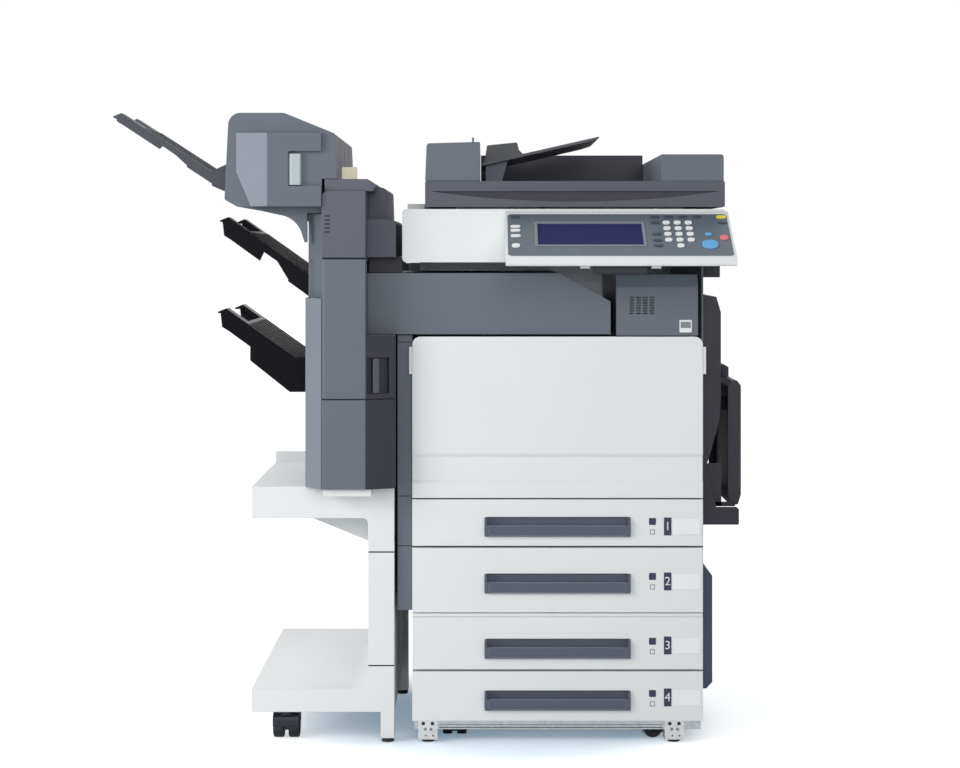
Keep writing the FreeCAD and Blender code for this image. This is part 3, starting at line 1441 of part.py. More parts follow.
def head_latch():
    """Light grip latch that stands in the head cover's recess."""
    piece = Piece("head_latch")
    x = (latch_left(), latch_left() + S.latch_width)
    y = (S.head_front + 1, S.head_front + S.head_cover_thickness - GAP)
    piece.prism("XY", (latch_low(), latch_low() + S.latch_height), [
        (x[0], y[0] + 3, 1.5), (x[0] + 6, y[0], 2), (x[1] - 2, y[0], 2), (x[1], y[1]), (x[0], y[1])])


def inclined_tray(piece, root, tip_level, reach, drop, depth, front, width):
    """A sloping output tray: a slab with a notched tip, and a deep side band with a hand hole."""
    tip = root - reach
    nose = tip + S.tray_nose
    slope = drop / (reach - S.tray_nose)
    thick = S.tray_skin * 2.5
    far = front + width
    piece.prism("XZ", (front, far), [
        (tip, tip_level - 7, 1), (nose, tip_level), (root, tip_level - drop), (root, tip_level - drop - thick),
        (nose, tip_level - thick), (tip + 2, tip_level - thick - 1)])
    notch = tip + S.notch_depth
    piece.block((tip - 1, notch), (front + S.notch_margin, far - S.notch_margin),
                (tip_level - drop, tip_level + 5), cut=True)
    for band in ((front, front + S.tray_skin), (far - S.tray_skin, far)):
        piece.prism("XZ", band, [
            (tip + 6, tip_level - 9), (nose, tip_level - 2), (root, tip_level - drop - 2),
            (root, tip_level - drop - depth), (nose + 5, tip_level - depth - 1), (tip + 9, tip_level - depth + 7, 2)])
    middle = tip + reach * 0.56
    edge = tip_level - slope * (reach * 0.56 - S.tray_nose) - depth
    reveal = (depth - thick) * 0.72
    piece.prism("XZ", (front - 1, front + S.tray_skin + 1), [
        (middle - 22, edge + 10 - 22 * -slope - 14), (middle - 12, edge + reveal + 8), (middle + 14, edge + reveal - 10),
        (middle + 36, edge - 36 * slope + 4), (middle + 30, edge - 36 * slope - 12)], cut=True)


def top_tray():
    """Output tray of the fold head, with the ears that it turns on."""
    piece = Piece("top_tray")
    root = S.head_left - 36.5
    inclined_tray(piece, root, S.top_tray_tip, S.top_tray_reach, S.top_tray_drop, S.top_tray_depth,
                  S.top_tray_front, S.top_tray_width)
    level = S.top_tray_tip - S.top_tray_drop
    ear_right = S.head_left + GAP
    for start in (S.top_tray_front, S.top_tray_front + S.top_tray_width - 14):
        piece.prism("XZ", (start, start + 14), [
            (root - 4, level + 2), (ear_right - 4, level + 18, 3), (ear_right, level - 20), (ear_right, level - 44),
            (root - 2, level - 27)])


def middle_tray():
    """Upper side tray of the tower."""
    piece = Piece("middle_tray")
    inclined_tray(piece, S.tower_left + S.skin - GAP, S.middle_tray_tip, S.side_tray_reach, S.side_tray_drop,
                  S.side_tray_depth, S.side_tray_front, S.side_tray_width)


def lower_tray():
    """Lower side tray, which rides up and down on the tower, with the trough under it."""
    piece = Piece("lower_tray")
    root = S.tower_left - GAP
    front = S.side_tray_front
    far = front + S.side_tray_width
    inclined_tray(piece, root, S.lower_tray_tip, S.side_tray_reach, S.side_tray_drop,
                  S.side_tray_depth, front, S.side_tray_width)
    low = S.lower_tray_tip - S.side_tray_drop - S.side_tray_depth - 7
    left = root - 113
    bend = root - 35
    knee = low + S.skirt_drop
    skin = S.tray_skin
    piece.prism("XZ", (front - GAP - skin, far + GAP + skin), [
        (left, knee), (bend, low), (root, low), (root, low + skin), (bend + 1, low + skin), (left, knee + skin + 1)])
    for band in ((front - GAP - skin, front - GAP), (far + GAP, far + GAP + skin)):
        piece.prism("XZ", band, [
            (left, knee), (bend, low), (root, low), (root, low + 72), (bend + 5, low + 66), (bend - 24, low + 84),
            (bend - 52, low + 102), (left, knee + 42)])


def desk_column_left():
    """Left face of the desk's column."""
    return S.desk_right - S.desk_column_width


def desk_top():
    """Upper shelf of the desk with its rear lip, its ledge under the tower and its gussets."""
    piece = Piece("desk_top")
    left = S.desk_left
    right = S.desk_right
    column = desk_column_left()
    top = S.tower_low - 0.5
    low = top - S.desk_top_height
    y = (S.front, S.front + S.desk_top_depth)
    seam = S.desk_upper_seam + 0.5
    column_back = S.front + S.desk_column_depth
    wall = S.desk_wall
    piece.block((left, right), y, (low, top))
    piece.prism("XZ", (y[0], column_back), [
        (column - 60, low + wall), (column - 60, low), (column, low, S.desk_corner), (column, seam), (right, seam),
        (right, low + wall)])
    piece.block((left + wall, column - wall), (y[0] + wall, y[1] - wall), (low - 1, top - wall), cut=True)
    piece.block((column + wall, right - wall), (y[0] + wall, column_back - wall), (seam - 1, top - wall), cut=True)
    piece.block((left, S.tower_left - GAP), (y[1] - S.desk_lip_depth, y[1]), (top - 1, top + S.desk_lip))
    piece.block((S.tower_middle + 1, S.tower_turn + 11), (S.tower_front + 10, y[0] + 1), (top - S.ledge_thickness, top))
    for start in (y[0] + 100, column_back - 40):
        piece.prism("XZ", (start, start + 12), [
            (column - S.gusset_run, low), (column - S.gusset_run, low + 24), (column + 1, low + 24),
            (column + 1, low - S.gusset_drop)])


def desk_column():
    """Middle part of the desk's column, a closed box section."""
    piece = Piece("desk_column")
    x = (desk_column_left(), S.desk_right)
    y = (S.front, S.front + S.desk_column_depth)
    z = (S.desk_lower_seam + 0.5, S.desk_upper_seam)
    wall = S.desk_wall
    piece.block(x, y, z)
    piece.block((x[0] + wall, x[1] - wall), (y[0] + wall, y[1] - wall), (z[0] - 1, z[1] + 1), cut=True)


def desk_base():
    """Lower shelf of the desk with the foot of the column, its leg, and the steel post behind it."""
    piece = Piece("desk_base")
    left = S.desk_left - 1.5
    right = S.desk_right
    column = desk_column_left()
    low = S.desk_base_low
    high = S.desk_base_high
    front = S.front
    column_back = front + S.desk_column_depth
    back = front + S.desk_base_depth
    wall = S.desk_wall
    piece.prism("XZ", (front, column_back), [
        (left, low), (right, low), (right, S.desk_lower_seam), (column, S.desk_lower_seam),
        (column, high, S.desk_round), (left, high)])
    piece.block((left, right), (column_back - 1, back), (low, high))
    piece.block((left + wall, column - wall), (front + wall, back - wall), (low - 1, high - wall), cut=True)
    piece.block((column + wall, right - wall), (front + wall, column_back - wall), (low - 1, S.desk_lower_seam + 1),
                cut=True)
    for place in desk_caster_places():
        piece.block(about(S.desk_caster_x, 56), about(place, 56), (low, high - wall + 1))
    leg = (right - S.desk_leg_width, right)
    piece.block(leg, (front, front + S.desk_leg_depth), (S.desk_foot_height, low + 20))
    post_y = (post_front(), post_front() + S.post_depth)
    post_x = (S.post_left, S.post_left + S.post_width)
    piece.block((post_x[0] - GAP, right + 1), (post_y[0] - GAP, back + 1), (low - 1, high + 1), cut=True)
    piece.block(post_x, post_y, (S.desk_foot_height, S.post_top))


def desk_caster_places():
    """Depths of the desk's two swivel casters."""
    return S.front + S.desk_caster_inset, S.front + S.desk_base_depth - S.desk_caster_inset - 12


def casters():
    """The cabinet's two swivel casters at the front and the desk's two hooded ones."""
    top = S.base_height - 2 * GAP - S.caster_pad
    place = S.front + S.caster_inset
    wheel = (S.caster_wheel_radius, S.caster_wheel_width, S.caster_trail, top)
    twin_caster("caster_left", (S.left_caster_x, place), "x", *wheel)
    twin_caster("caster_right", (S.right_caster_x, place), "y", *wheel)
    desk_wheel = (S.desk_wheel_radius, S.desk_wheel_width, S.desk_caster_trail, S.desk_base_low - GAP)
    for name, depth in zip(("desk_front", "desk_rear"), desk_caster_places()):
        twin_caster(name, (S.desk_caster_x, depth), "x", *desk_wheel, hood=3)


base_frame()
levelling_feet()
cabinet_shell()
side_feed_door()
casters()
rear_wheels()
drawer("one", drawer_one_low, drawer_one_high, S.handle_one_drop)
drawer("two", drawer_two_low, drawer_two_high, S.handle_two_drop)
drawer("three", drawer_three_low, drawer_three_high, S.handle_three_drop)
drawer("four", S.base_height, drawer_four_high, S.handle_four_drop)
chassis()
side_covers()
rear_cover()
front_upper_cover()
front_door()
toner_cartridges()
imaging_units()
fuser_unit()
side_door()
bypass_tray()
relay_unit()
relay_cover()
scanner_housing()
platen_glass()
scan_carriages()
adf_base()
adf_feed_cover()
document_tray()
document_guides()
panel_housing()
face_plate()
panel_keys()
panel_lever()
tower_housing()
tower_door()
tower_upper_housing()
head_housing()
head_cover()
head_latch()
top_tray()
middle_tray()
lower_tray()
desk_top()
desk_column()
desk_base()

doc.recompute()
for item in doc.Objects:
    if "Invalid" in item.State or "Error" in item.State:
        raise RuntimeError(f"{item.Name} of the document failed")
for body in bodies:
    if body.Shape.isNull() or not body.Shape.isValid():
        raise RuntimeError(f"{body.Label} has no valid shape")

os.makedirs("parts", exist_ok=True)
for body in bodies:
    body.Shape.exportStep(f"parts/{body.Label}.step")
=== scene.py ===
import math

import bpy
import numpy as np
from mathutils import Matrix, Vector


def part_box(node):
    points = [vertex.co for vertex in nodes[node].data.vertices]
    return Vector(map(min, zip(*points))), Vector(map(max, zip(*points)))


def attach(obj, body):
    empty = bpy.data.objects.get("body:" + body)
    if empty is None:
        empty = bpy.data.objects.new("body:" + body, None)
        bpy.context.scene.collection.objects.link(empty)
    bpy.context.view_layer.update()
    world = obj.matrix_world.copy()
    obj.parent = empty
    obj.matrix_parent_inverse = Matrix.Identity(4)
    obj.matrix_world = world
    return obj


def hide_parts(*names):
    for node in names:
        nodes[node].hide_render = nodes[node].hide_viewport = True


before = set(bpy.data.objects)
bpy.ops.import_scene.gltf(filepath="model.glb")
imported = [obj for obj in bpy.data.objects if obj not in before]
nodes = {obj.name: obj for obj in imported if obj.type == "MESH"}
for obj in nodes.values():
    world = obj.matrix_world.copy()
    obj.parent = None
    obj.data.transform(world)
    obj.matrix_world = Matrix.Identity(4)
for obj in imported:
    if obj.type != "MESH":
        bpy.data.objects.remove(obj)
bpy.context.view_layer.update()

# ---------------------------------------------------------------------------------------------------
# White covers: front door, drawer fronts, scanner housing, panel housing and the finisher's desk.
# Each is injection-moulded ABS with a fine spark-eroded grain, which gives a soft, slightly mottled sheen.


def linear(code):
    """The linear colour of an sRGB hex value."""
    channels = [int(code[start:start + 2], 16) / 255 for start in (1, 3, 5)]
    return [c / 12.92 if c <= 0.04045 else ((c + 0.055) / 1.055) ** 2.4 for c in channels] + [1.0]


def add(tree, kind, sockets=None, **settings):
    """Adds a node; sockets maps an input to a value, or to another node's output to link it."""
    made = tree.nodes.new(kind)
    for name, value in settings.items():
        setattr(made, name, value)
    for name, value in (sockets or {}).items():
        if isinstance(value, bpy.types.NodeSocket):
            tree.links.new(value, made.inputs[name])
        else:
            made.inputs[name].default_value = value
    return made


def moulded_plastic(name, code, edge_wear_and_highlight, roughness=0.45, grain=0.0011, depth=0.12, radius=0.0018, mottle=0.02,
                    sheen=0.5):
    """A moulded plastic: grain (metres) in bump and roughness, broad mottling, and edges lightened towards
    the edge colour given third, which stands for wear and is also a painted edge highlight.

    The lightening goes by the dot product of the true normal and the one rounded over the radius: as it
    falls from 0.995 to 0.8, the colour moves up to 0.55 of the way to that edge colour.
    """
    material = bpy.data.materials.new(name)
    material.use_nodes = True
    tree = material.node_tree
    shader = tree.nodes["Principled BSDF"]
    place = add(tree, "ShaderNodeTexCoord").outputs["Object"]
    fine = add(tree, "ShaderNodeTexNoise", {"Vector": place, "Scale": 1 / grain, "Detail": 2.0})
    broad = add(tree, "ShaderNodeTexNoise", {"Vector": place, "Scale": 11.0, "Detail": 4.0, "Roughness": 0.6})
    tone = add(tree, "ShaderNodeMapRange", {"Value": broad.outputs["Fac"], "From Min": 0.3, "From Max": 0.7,
                                            "To Min": 1 - mottle, "To Max": 1 + mottle})
    mottled = add(tree, "ShaderNodeVectorMath", {0: linear(code)[:3]}, operation="SCALE")
    tree.links.new(tone.outputs["Result"], mottled.inputs["Scale"])
    soft = add(tree, "ShaderNodeBevel", {"Radius": radius}, samples=4)
    true = add(tree, "ShaderNodeNewGeometry").outputs["Normal"]
    facing = add(tree, "ShaderNodeVectorMath", {0: soft.outputs["Normal"], 1: true}, operation="DOT_PRODUCT")
    edge = add(tree, "ShaderNodeMapRange", {"Value": facing.outputs["Value"], "From Min": 0.995,
                                            "From Max": 0.8, "To Min": 0.0, "To Max": 0.55})
    colour = add(tree, "ShaderNodeMix", {"Factor": edge.outputs["Result"]}, data_type="RGBA")
    tree.links.new(mottled.outputs["Vector"], colour.inputs[6])
    colour.inputs[7].default_value = linear(edge_wear_and_highlight)
    tree.links.new(colour.outputs[2], shader.inputs["Base Color"])
    rough = add(tree, "ShaderNodeMapRange", {"Value": fine.outputs["Fac"], "From Min": 0.3, "From Max": 0.7,
                                             "To Min": roughness - 0.06, "To Max": roughness + 0.08})
    tree.links.new(rough.outputs["Result"], shader.inputs["Roughness"])
    bump = add(tree, "ShaderNodeBump", {"Strength": depth, "Distance": 0.0004, "Height": fine.outputs["Fac"],
                                        "Normal": soft.outputs["Normal"]})
    tree.links.new(bump.outputs["Normal"], shader.inputs["Normal"])
    shader.inputs["IOR"].default_value = 1.5
    shader.inputs["Specular IOR Level"].default_value = sheen
    return material


def paint(names, material, *accents):
    """Gives CAD nodes a material; an accent is a material and a test of face centres (metres)."""
    for name in names:
        mesh = nodes[name].data
        mesh.materials.clear()
        mesh.materials.append(material)
        count = len(mesh.polygons)
        centres = np.empty(count * 3)
        mesh.polygons.foreach_get("center", centres)
        centres = centres.reshape(-1, 3)
        chosen = np.zeros(count, dtype=np.int32)
        for extra, test in accents:
            mesh.materials.append(extra)
            chosen[test(*centres.T)] = len(mesh.materials) - 1
        mesh.polygons.foreach_set("material_index", chosen)


# a near-white moulding with a cold cast; its fine grain keeps highlights broad and dull
white_abs = moulded_plastic("moulded_white_abs", "#dfe2e3", "#eef0f2", mottle=0.006)
paint(["front_door", "desk_top", "desk_column", "panel_housing"], white_abs)

# ---------------------------------------------------------------------------------------------------
# Drawer fronts: white ABS with a separate slate-grey handle cup set into the window of each front.
# The handle is smoother than the front, so it holds a soft highlight along its lip.
handle_half, handle_rise = 0.1424, 0.0189  # half the width and height of the handle's insert
slate_abs = moulded_plastic("moulded_slate_abs", "#4d5464", "#828a99", roughness=0.34, depth=0.06)
# the inside of the cup is painted paler than its lip, as painted light reaching into it, and is slightly
# duller
cup_painted_light_slate = moulded_plastic("moulded_slate_cup_painted_light", "#666d7d", "#818999", roughness=0.4, depth=0.06)
# how far the middle of each handle lies below the top of its front
handle_drops = {"one": 0.053, "two": 0.069, "three": 0.061, "four": 0.056}
for drawer, drop in handle_drops.items():
    low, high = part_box(f"drawer_{drawer}_front")
    middle = (low.x + high.x) / 2
    level = high.z - drop
    paint([f"drawer_{drawer}_front"], white_abs, (
        slate_abs, lambda x, y, z: (abs(x - middle) < handle_half) & (abs(z - level) < handle_rise)), (
        cup_painted_light_slate, lambda x, y, z: (abs(x - middle) < handle_half - 0.0012)
        & (abs(z - level) < handle_rise - 0.0003) & (y > low.y + 0.009)))

# ---------------------------------------------------------------------------------------------------
# Dark covers: the printer's side and rear covers, relay unit, document feeder and finisher casings.
# The same moulding grain as the white covers, in greys with a cool cast; their edges are lightened into thin
# pale lines, a painted edge highlight that also stands for wear.
dark_abs = moulded_plastic("moulded_dark_grey_abs", "#5d646e", "#7e858f", roughness=0.5, depth=0.16)
# the charcoal grade is the own colour of the side door, bypass tray, panel lever, scanner stay and vents, and
# painted shade in the feeder's lens recess, the head's grooves, the grip pocket and the webs that close
# openings
charcoal_and_painted_shade_abs = moulded_plastic("charcoal_abs_and_painted_shade", "#191a28", "#454757", roughness=0.44, depth=0.14)
paint(["side_covers", "rear_cover", "front_upper_cover", "relay_unit", "relay_cover",
       "adf_feed_cover"], dark_abs)
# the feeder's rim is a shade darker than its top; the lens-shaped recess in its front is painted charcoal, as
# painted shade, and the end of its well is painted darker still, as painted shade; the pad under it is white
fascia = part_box("adf_base")
feeder_deck, pad_top = 1.0957, 1.0448
well_left, well_right, well_back = 0.1040, 0.4574, 0.2140
lens_level, lens_half = 1.0652, 0.0105
fascia_abs = moulded_plastic("moulded_fascia_abs", "#4d505b", "#6d717c", roughness=0.5, depth=0.16)
deep_shade_painted_abs = moulded_plastic("abs_deep_painted_shade", "#232430", "#53545f", roughness=0.5, depth=0.16)
paint(["adf_base"], fascia_abs, (dark_abs, lambda x, y, z: z > feeder_deck),
      (white_abs, lambda x, y, z: z < pad_top),
      (deep_shade_painted_abs, lambda x, y, z: (x > well_left) & (x < well_right) & (y > well_back) & (z > feeder_deck)),
      (charcoal_and_painted_shade_abs, lambda x, y, z: (y > fascia[0].y + 0.0004) & (y < fascia[0].y + 0.0046)
       & (abs(z - lens_level) < lens_half)))
# the finisher's left facets are painted in lighter grades, as painted light from the left; its right facets
# and the fold head's right end are painted in darker grades, as painted shade
tower_low, tower_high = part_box("tower_door")
upper_low, upper_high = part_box("tower_upper_housing")
tower_turn = -0.1176  # where the tower's front turns back into its right facet
painted_shade_abs = moulded_plastic("abs_painted_shade", "#4b4d5b", "#696c79", roughness=0.5, depth=0.16)
painted_light_abs = moulded_plastic("abs_painted_light", "#747b84", "#949ba4", roughness=0.5, depth=0.16)
paint(["tower_housing"], dark_abs, (
    deep_shade_painted_abs, lambda x, y, z: (x > tower_turn + 0.0006) & (y < -0.2550) & (z < tower_low.z + 0.001)), (
    painted_light_abs, lambda x, y, z: (x < tower_low.x - 0.0002) & (y < -0.2380) & (z < 0.8681)))
# the upper casing's right side is painted in the darker grade, as painted shade
upper_abs = moulded_plastic("moulded_violet_grey_abs", "#555863", "#777a86", roughness=0.5, depth=0.16)
paint(["tower_upper_housing"], upper_abs, (painted_shade_abs, lambda x, y, z: x > tower_turn + 0.001))
# the head cover's left facet is painted in a lighter grade, as painted light from the left
painted_light_pale_abs = moulded_plastic("abs_painted_light_pale", "#868a96", "#a2a6b1", roughness=0.5, depth=0.16)
head_turn, head_end = -0.3050, -0.1790
paint(["head_cover"], dark_abs, (painted_light_pale_abs, lambda x, y, z: x < head_turn))
# the head casing's right end is painted in the darker grade, as painted shade; three grooves part the four
# bands of the casing, and their floors are painted charcoal, as painted shade in the grooves
band_low, band_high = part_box("head_housing")
band = (band_high.y - band_low.y) / 4
groove = 0.0045
paint(["head_housing"], dark_abs, (painted_shade_abs, lambda x, y, z: (x > head_end) & (z > 1.1)), (
    charcoal_and_painted_shade_abs, lambda x, y, z: ((y - band_low.y) % band > band - groove) & (y < band_high.y - 0.01)
    & (z > 1.02)))
# the door's right facet below the relay cover is painted darker, as painted shade; its grip is a pocket sunk
# in that facet, painted charcoal, as painted shade in the pocket
grip_left, grip_right, grip_foot, grip_head = -0.1141, -0.0719, 0.6839, 0.7541
facet_slope = 0.36
paint(["tower_door"], dark_abs,
      (deep_shade_painted_abs, lambda x, y, z: (x > tower_turn + 0.0006) & (z < 0.7960)),
      (charcoal_and_painted_shade_abs, lambda x, y, z: (x > grip_left) & (x < grip_right) & (z > grip_foot) & (z < grip_head)
       & (y > tower_low.y + (x - tower_turn) * facet_slope + 0.002) & (y < -0.262)))
paint(["side_door", "bypass_tray", "panel_lever"], charcoal_and_painted_shade_abs)
# the scanner's housing is white; the stay under its right end is charcoal
stay_left, stay_top = 0.5266, 0.9369
paint(["scanner_housing"], white_abs, (charcoal_and_painted_shade_abs, lambda x, y, z: (x > stay_left) & (z < stay_top)))
# the cabinet's feed door is a bluer moulding than the covers round it
navy_abs = moulded_plastic("moulded_blue_grey_abs", "#3c4559", "#5c667c", roughness=0.5)
paint(["side_feed_door"], navy_abs)

# ---------------------------------------------------------------------------------------------------
# Sheet trays: glass-filled plastic, black on the tower's two lower trays and grey on the others.
# Each is moulded in one piece. The black ones reflect little, and the grey ones have a satin sheen.
tray_black = moulded_plastic("moulded_black_tray_plastic", "#08080f", "#2a2b36", roughness=0.3, depth=0.1,
                            sheen=0.12)
tray_grey = moulded_plastic("moulded_grey_tray_plastic", "#3d4048", "#666972", roughness=0.36, depth=0.1)
paint(["middle_tray", "lower_tray"], tray_black)
paint(["top_tray", "document_tray", "document_guide_front", "document_guide_rear"], tray_grey)

# ---------------------------------------------------------------------------------------------------
# Internal units and caster forks: satin nylon moulded in blue-black, which keeps a soft highlight.
# The units slide in from the front and lie on the engine's shelves.
unit_nylon = moulded_plastic("moulded_black_nylon", "#151829", "#383d55", roughness=0.34)
paint(["imaging_units", "fuser_unit", "caster_left_fork", "caster_right_fork", "desk_front_fork",
       "desk_rear_fork"], unit_nylon)

# each toner cartridge has an end cap in its ink's colour, on the face that shows behind the front door
toner_low, toner_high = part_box("toner_cartridges")
cap_colours = (("yellow", "#d9c02a"), ("magenta", "#b5296b"), ("cyan", "#1c82b8"), ("black", "#2a2a30"))
caps = [moulded_plastic(f"moulded_{ink}_cap", code, code, roughness=0.35, depth=0.05)
        for ink, code in cap_colours]
side_gap = 0.022
pitch = (toner_high.x - toner_low.x + 2 * side_gap) / 4
paint(["toner_cartridges"], unit_nylon, *[
    (cap, lambda x, y, z, start=toner_low.x - side_gap + pitch * index: (y < toner_low.y + 0.004)
     & (x > start) & (x < start + pitch)) for index, cap in enumerate(caps)])

# ---------------------------------------------------------------------------------------------------
# Steel frame and trays: zinc-plated sheet, folded and screwed or spot-welded together.
# Plating shows as faint crystal patches a few millimetres wide.


def plated_sheet(name, code, patch=0.006):
    """Zinc-plated steel: a Voronoi cell per crystal (patch in metres) shifts tone and roughness."""
    material = bpy.data.materials.new(name)
    material.use_nodes = True
    tree = material.node_tree
    shader = tree.nodes["Principled BSDF"]
    place = add(tree, "ShaderNodeTexCoord").outputs["Object"]
    cells = add(tree, "ShaderNodeTexVoronoi", {"Vector": place, "Scale": 1 / patch})
    grey = add(tree, "ShaderNodeRGBToBW", {"Color": cells.outputs["Color"]})
    tone = add(tree, "ShaderNodeMapRange", {"Value": grey.outputs["Val"], "To Min": 0.86, "To Max": 1.06})
    colour = add(tree, "ShaderNodeVectorMath", {0: linear(code)[:3]}, operation="SCALE")
    tree.links.new(tone.outputs["Result"], colour.inputs["Scale"])
    tree.links.new(colour.outputs["Vector"], shader.inputs["Base Color"])
    rough = add(tree, "ShaderNodeMapRange", {"Value": grey.outputs["Val"], "To Min": 0.3, "To Max": 0.42})
    tree.links.new(rough.outputs["Result"], shader.inputs["Roughness"])
    shader.inputs["Metallic"].default_value = 1.0
    return material


zinc = plated_sheet("zinc_plated_sheet", "#c6ccd1")
paint(["scan_carriage", "mirror_carriage", "drawer_one_tray", "drawer_two_tray", "drawer_three_tray",
       "drawer_four_tray"], zinc)
# the steel post behind the desk's column is painted pale grey with an even gloss, as painted light on a post
# that lies in shade
pale_post_painted_light = moulded_plastic("steel_post_painted_light", "#dbe4ea", "#eef2f4", roughness=0.35, depth=0.05,
                             sheen=0.8)
post_left, post_front, post_back = -0.0791, 0.1707, 0.2009
paint(["desk_base"], white_abs, (
    pale_post_painted_light, lambda x, y, z: (x > post_left) & (y > post_front) & (y < post_back)))
# the two-drawer cabinet is faced in the covers' white; the faces of the cabinet and chassis behind the gaps
# between the fronts are painted black, as painted shade, so each gap reads as a dark line
joint_black_and_painted_shade = moulded_plastic("joint_black_and_painted_gap_shade", "#0d0d11", "#1e1e24", roughness=0.9)
paint(["cabinet_shell"], white_abs, (joint_black_and_painted_shade, lambda x, y, z: (y < -0.2300) & (z < 0.2440)))
paint(["chassis"], zinc, (joint_black_and_painted_shade, lambda x, y, z: y < -0.2100))

# ---------------------------------------------------------------------------------------------------
# Wheels and feet: black polyurethane cast on a moulded hub, two wheels to each caster on one axle.
# Each wheel is turned from one profile, so its rim and hub show true round edges and a satin sheen.
tread = moulded_plastic("cast_black_polyurethane", "#1a1b1e", "#34353a", roughness=0.55, grain=0.0009)
paint(["levelling_feet"], tread)


def grid_mesh(name, rows, material, body, ends=True):
    """A skin over rows of points (rings, points, 3), joined ring to ring, with flat ends if asked."""
    rings, count = rows.shape[:2]
    ring, point = np.meshgrid(np.arange(rings - 1), np.arange(count), indexing="ij")
    after = (point + 1) % count
    here, there = ring * count, (ring + 1) * count
    corners = [here + point, here + after, there + after, there + point]
    faces = np.stack(corners, axis=-1).reshape(-1, 4).tolist()
    if ends:
        faces.append(list(range(count))[::-1])
        faces.append(list(range((rings - 1) * count, rings * count)))
    mesh = bpy.data.meshes.new(name)
    mesh.from_pydata(rows.reshape(-1, 3).tolist(), [], faces)
    mesh.materials.append(material)
    made = bpy.data.objects.new(name, mesh)
    bpy.context.scene.collection.objects.link(made)
    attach(made, body)
    return made


def turned_wheels(name, node, centre, axis, radius, inner, width):
    """Two wheels turned about an axis (0 for x, 1 for y): one profile of (along, r) swept by a full turn."""
    profile = np.array([(0.0, 0.30), (0.0, 0.80), (0.0, 0.90), (0.05, 0.97), (0.16, 1.0), (0.5, 1.0),
                        (0.84, 1.0), (0.95, 0.97), (1.0, 0.90), (1.0, 0.78), (0.97, 0.74), (0.86, 0.72),
                        (0.84, 0.66), (0.84, 0.40), (0.88, 0.34), (0.97, 0.33), (1.0, 0.30)])
    turn = np.linspace(0, 2 * np.pi, 49)[:-1]
    for side in (-1, 1):
        along = side * (inner + profile[:, :1] * width) * np.ones((1, len(turn)))
        out = radius * profile[:, 1:]
        first = out * np.cos(turn)
        second = out * np.sin(turn) * side
        parts = [along, first, second] if axis == 0 else [second, along, first]
        rows = np.stack(parts, axis=-1) + np.array(centre)
        wheel = grid_mesh(f"{name}_{'left' if side < 0 else 'right'}", rows, tread, node)
        wheel.data.polygons.foreach_set("use_smooth", [True] * len(wheel.data.polygons))
        crisp = wheel.modifiers.new("edge", "EDGE_SPLIT")
        crisp.split_angle = math.radians(40)
        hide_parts(node)


half_gap = 0.0048  # from the fork's middle to the inner face of each wheel
for name in ("caster_left", "caster_right", "desk_front", "desk_rear"):
    low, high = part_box(f"{name}_wheels")
    middle = [(low[i] + high[i]) / 2 for i in range(3)]
    axle = 1 if name == "caster_right" else 0
    half = (high[axle] - low[axle]) / 2
    turned_wheels(f"{name}_wheel", f"{name}_wheels", middle, axle, (high.z - low.z) / 2, half_gap,
                  half - half_gap)
paint(["rear_wheels"], tread)

# ---------------------------------------------------------------------------------------------------
# Platen: a sheet of float glass, faintly green at its edges, glued into the scanner's housing.
# Faint smears in its roughness break up the reflection.
float_glass = bpy.data.materials.new("float_glass")
float_glass.use_nodes = True
glass_tree = float_glass.node_tree
glass_shader = glass_tree.nodes["Principled BSDF"]
glass_shader.inputs["Base Color"].default_value = linear("#dfeee8")
glass_shader.inputs["Transmission Weight"].default_value = 1.0
glass_shader.inputs["IOR"].default_value = 1.52
glass_place = add(glass_tree, "ShaderNodeTexCoord").outputs["Object"]
smear = add(glass_tree, "ShaderNodeTexNoise", {"Vector": glass_place, "Scale": 18.0, "Detail": 3.0})
smear_range = add(glass_tree, "ShaderNodeMapRange", {"Value": smear.outputs["Fac"], "To Min": 0.01,
                                                     "To Max": 0.06})
glass_tree.links.new(smear_range.outputs["Result"], glass_shader.inputs["Roughness"])
paint(["platen_glass"], float_glass)

# ---------------------------------------------------------------------------------------------------
# Control panel: a printed film over the face plate, a display window with a bezel fixed round it, and
# moulded keys that stand through the film. Positions on the face are (x, v), v running up its slope.
face_foot = np.array([0.0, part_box("panel_housing")[0].y, 0.948])
face_run, face_rise = 135.0, 85.0
face_up = np.array([0.0, face_run, face_rise]) / math.hypot(face_run, face_rise)
face_out = np.array([0.0, -face_rise, face_run]) / math.hypot(face_run, face_rise)


def up_face(y, z):
    """Distance up the face of points (y, z)."""
    return (y - face_foot[1]) * face_up[1] + (z - face_foot[2]) * face_up[2]


# the face is a slate film printed on its back, smooth enough to carry a long soft highlight
film = moulded_plastic("printed_slate_film", "#5a6570", "#77828c", roughness=0.3, depth=0.05)
# the display is off: a deep blue window, even and nearly without shine
display = moulded_plastic("blue_display_window", "#272a58", "#272a58", roughness=0.5, depth=0.0,
                          radius=0.0004, mottle=0.04, sheen=0.1)
display_left, display_right, display_foot, display_head = 0.2136, 0.4134, 0.0432, 0.1198
# each key is moulded right through in its own colour, with a soft gloss near the film's
key_white = moulded_plastic("moulded_white_key", "#eceded", "#ffffff", roughness=0.35, depth=0.05)
key_dark = moulded_plastic("moulded_dark_key", "#3b434d", "#5a636e", roughness=0.35, depth=0.05)
key_blue = moulded_plastic("moulded_blue_key", "#5fa9e0", "#8cc4ee", roughness=0.3, depth=0.03)
key_red = moulded_plastic("moulded_red_key", "#e87484", "#f3a0aa", roughness=0.3, depth=0.03)
key_yellow = moulded_plastic("moulded_yellow_key", "#f2df4e", "#f8ec8a", roughness=0.3, depth=0.03)
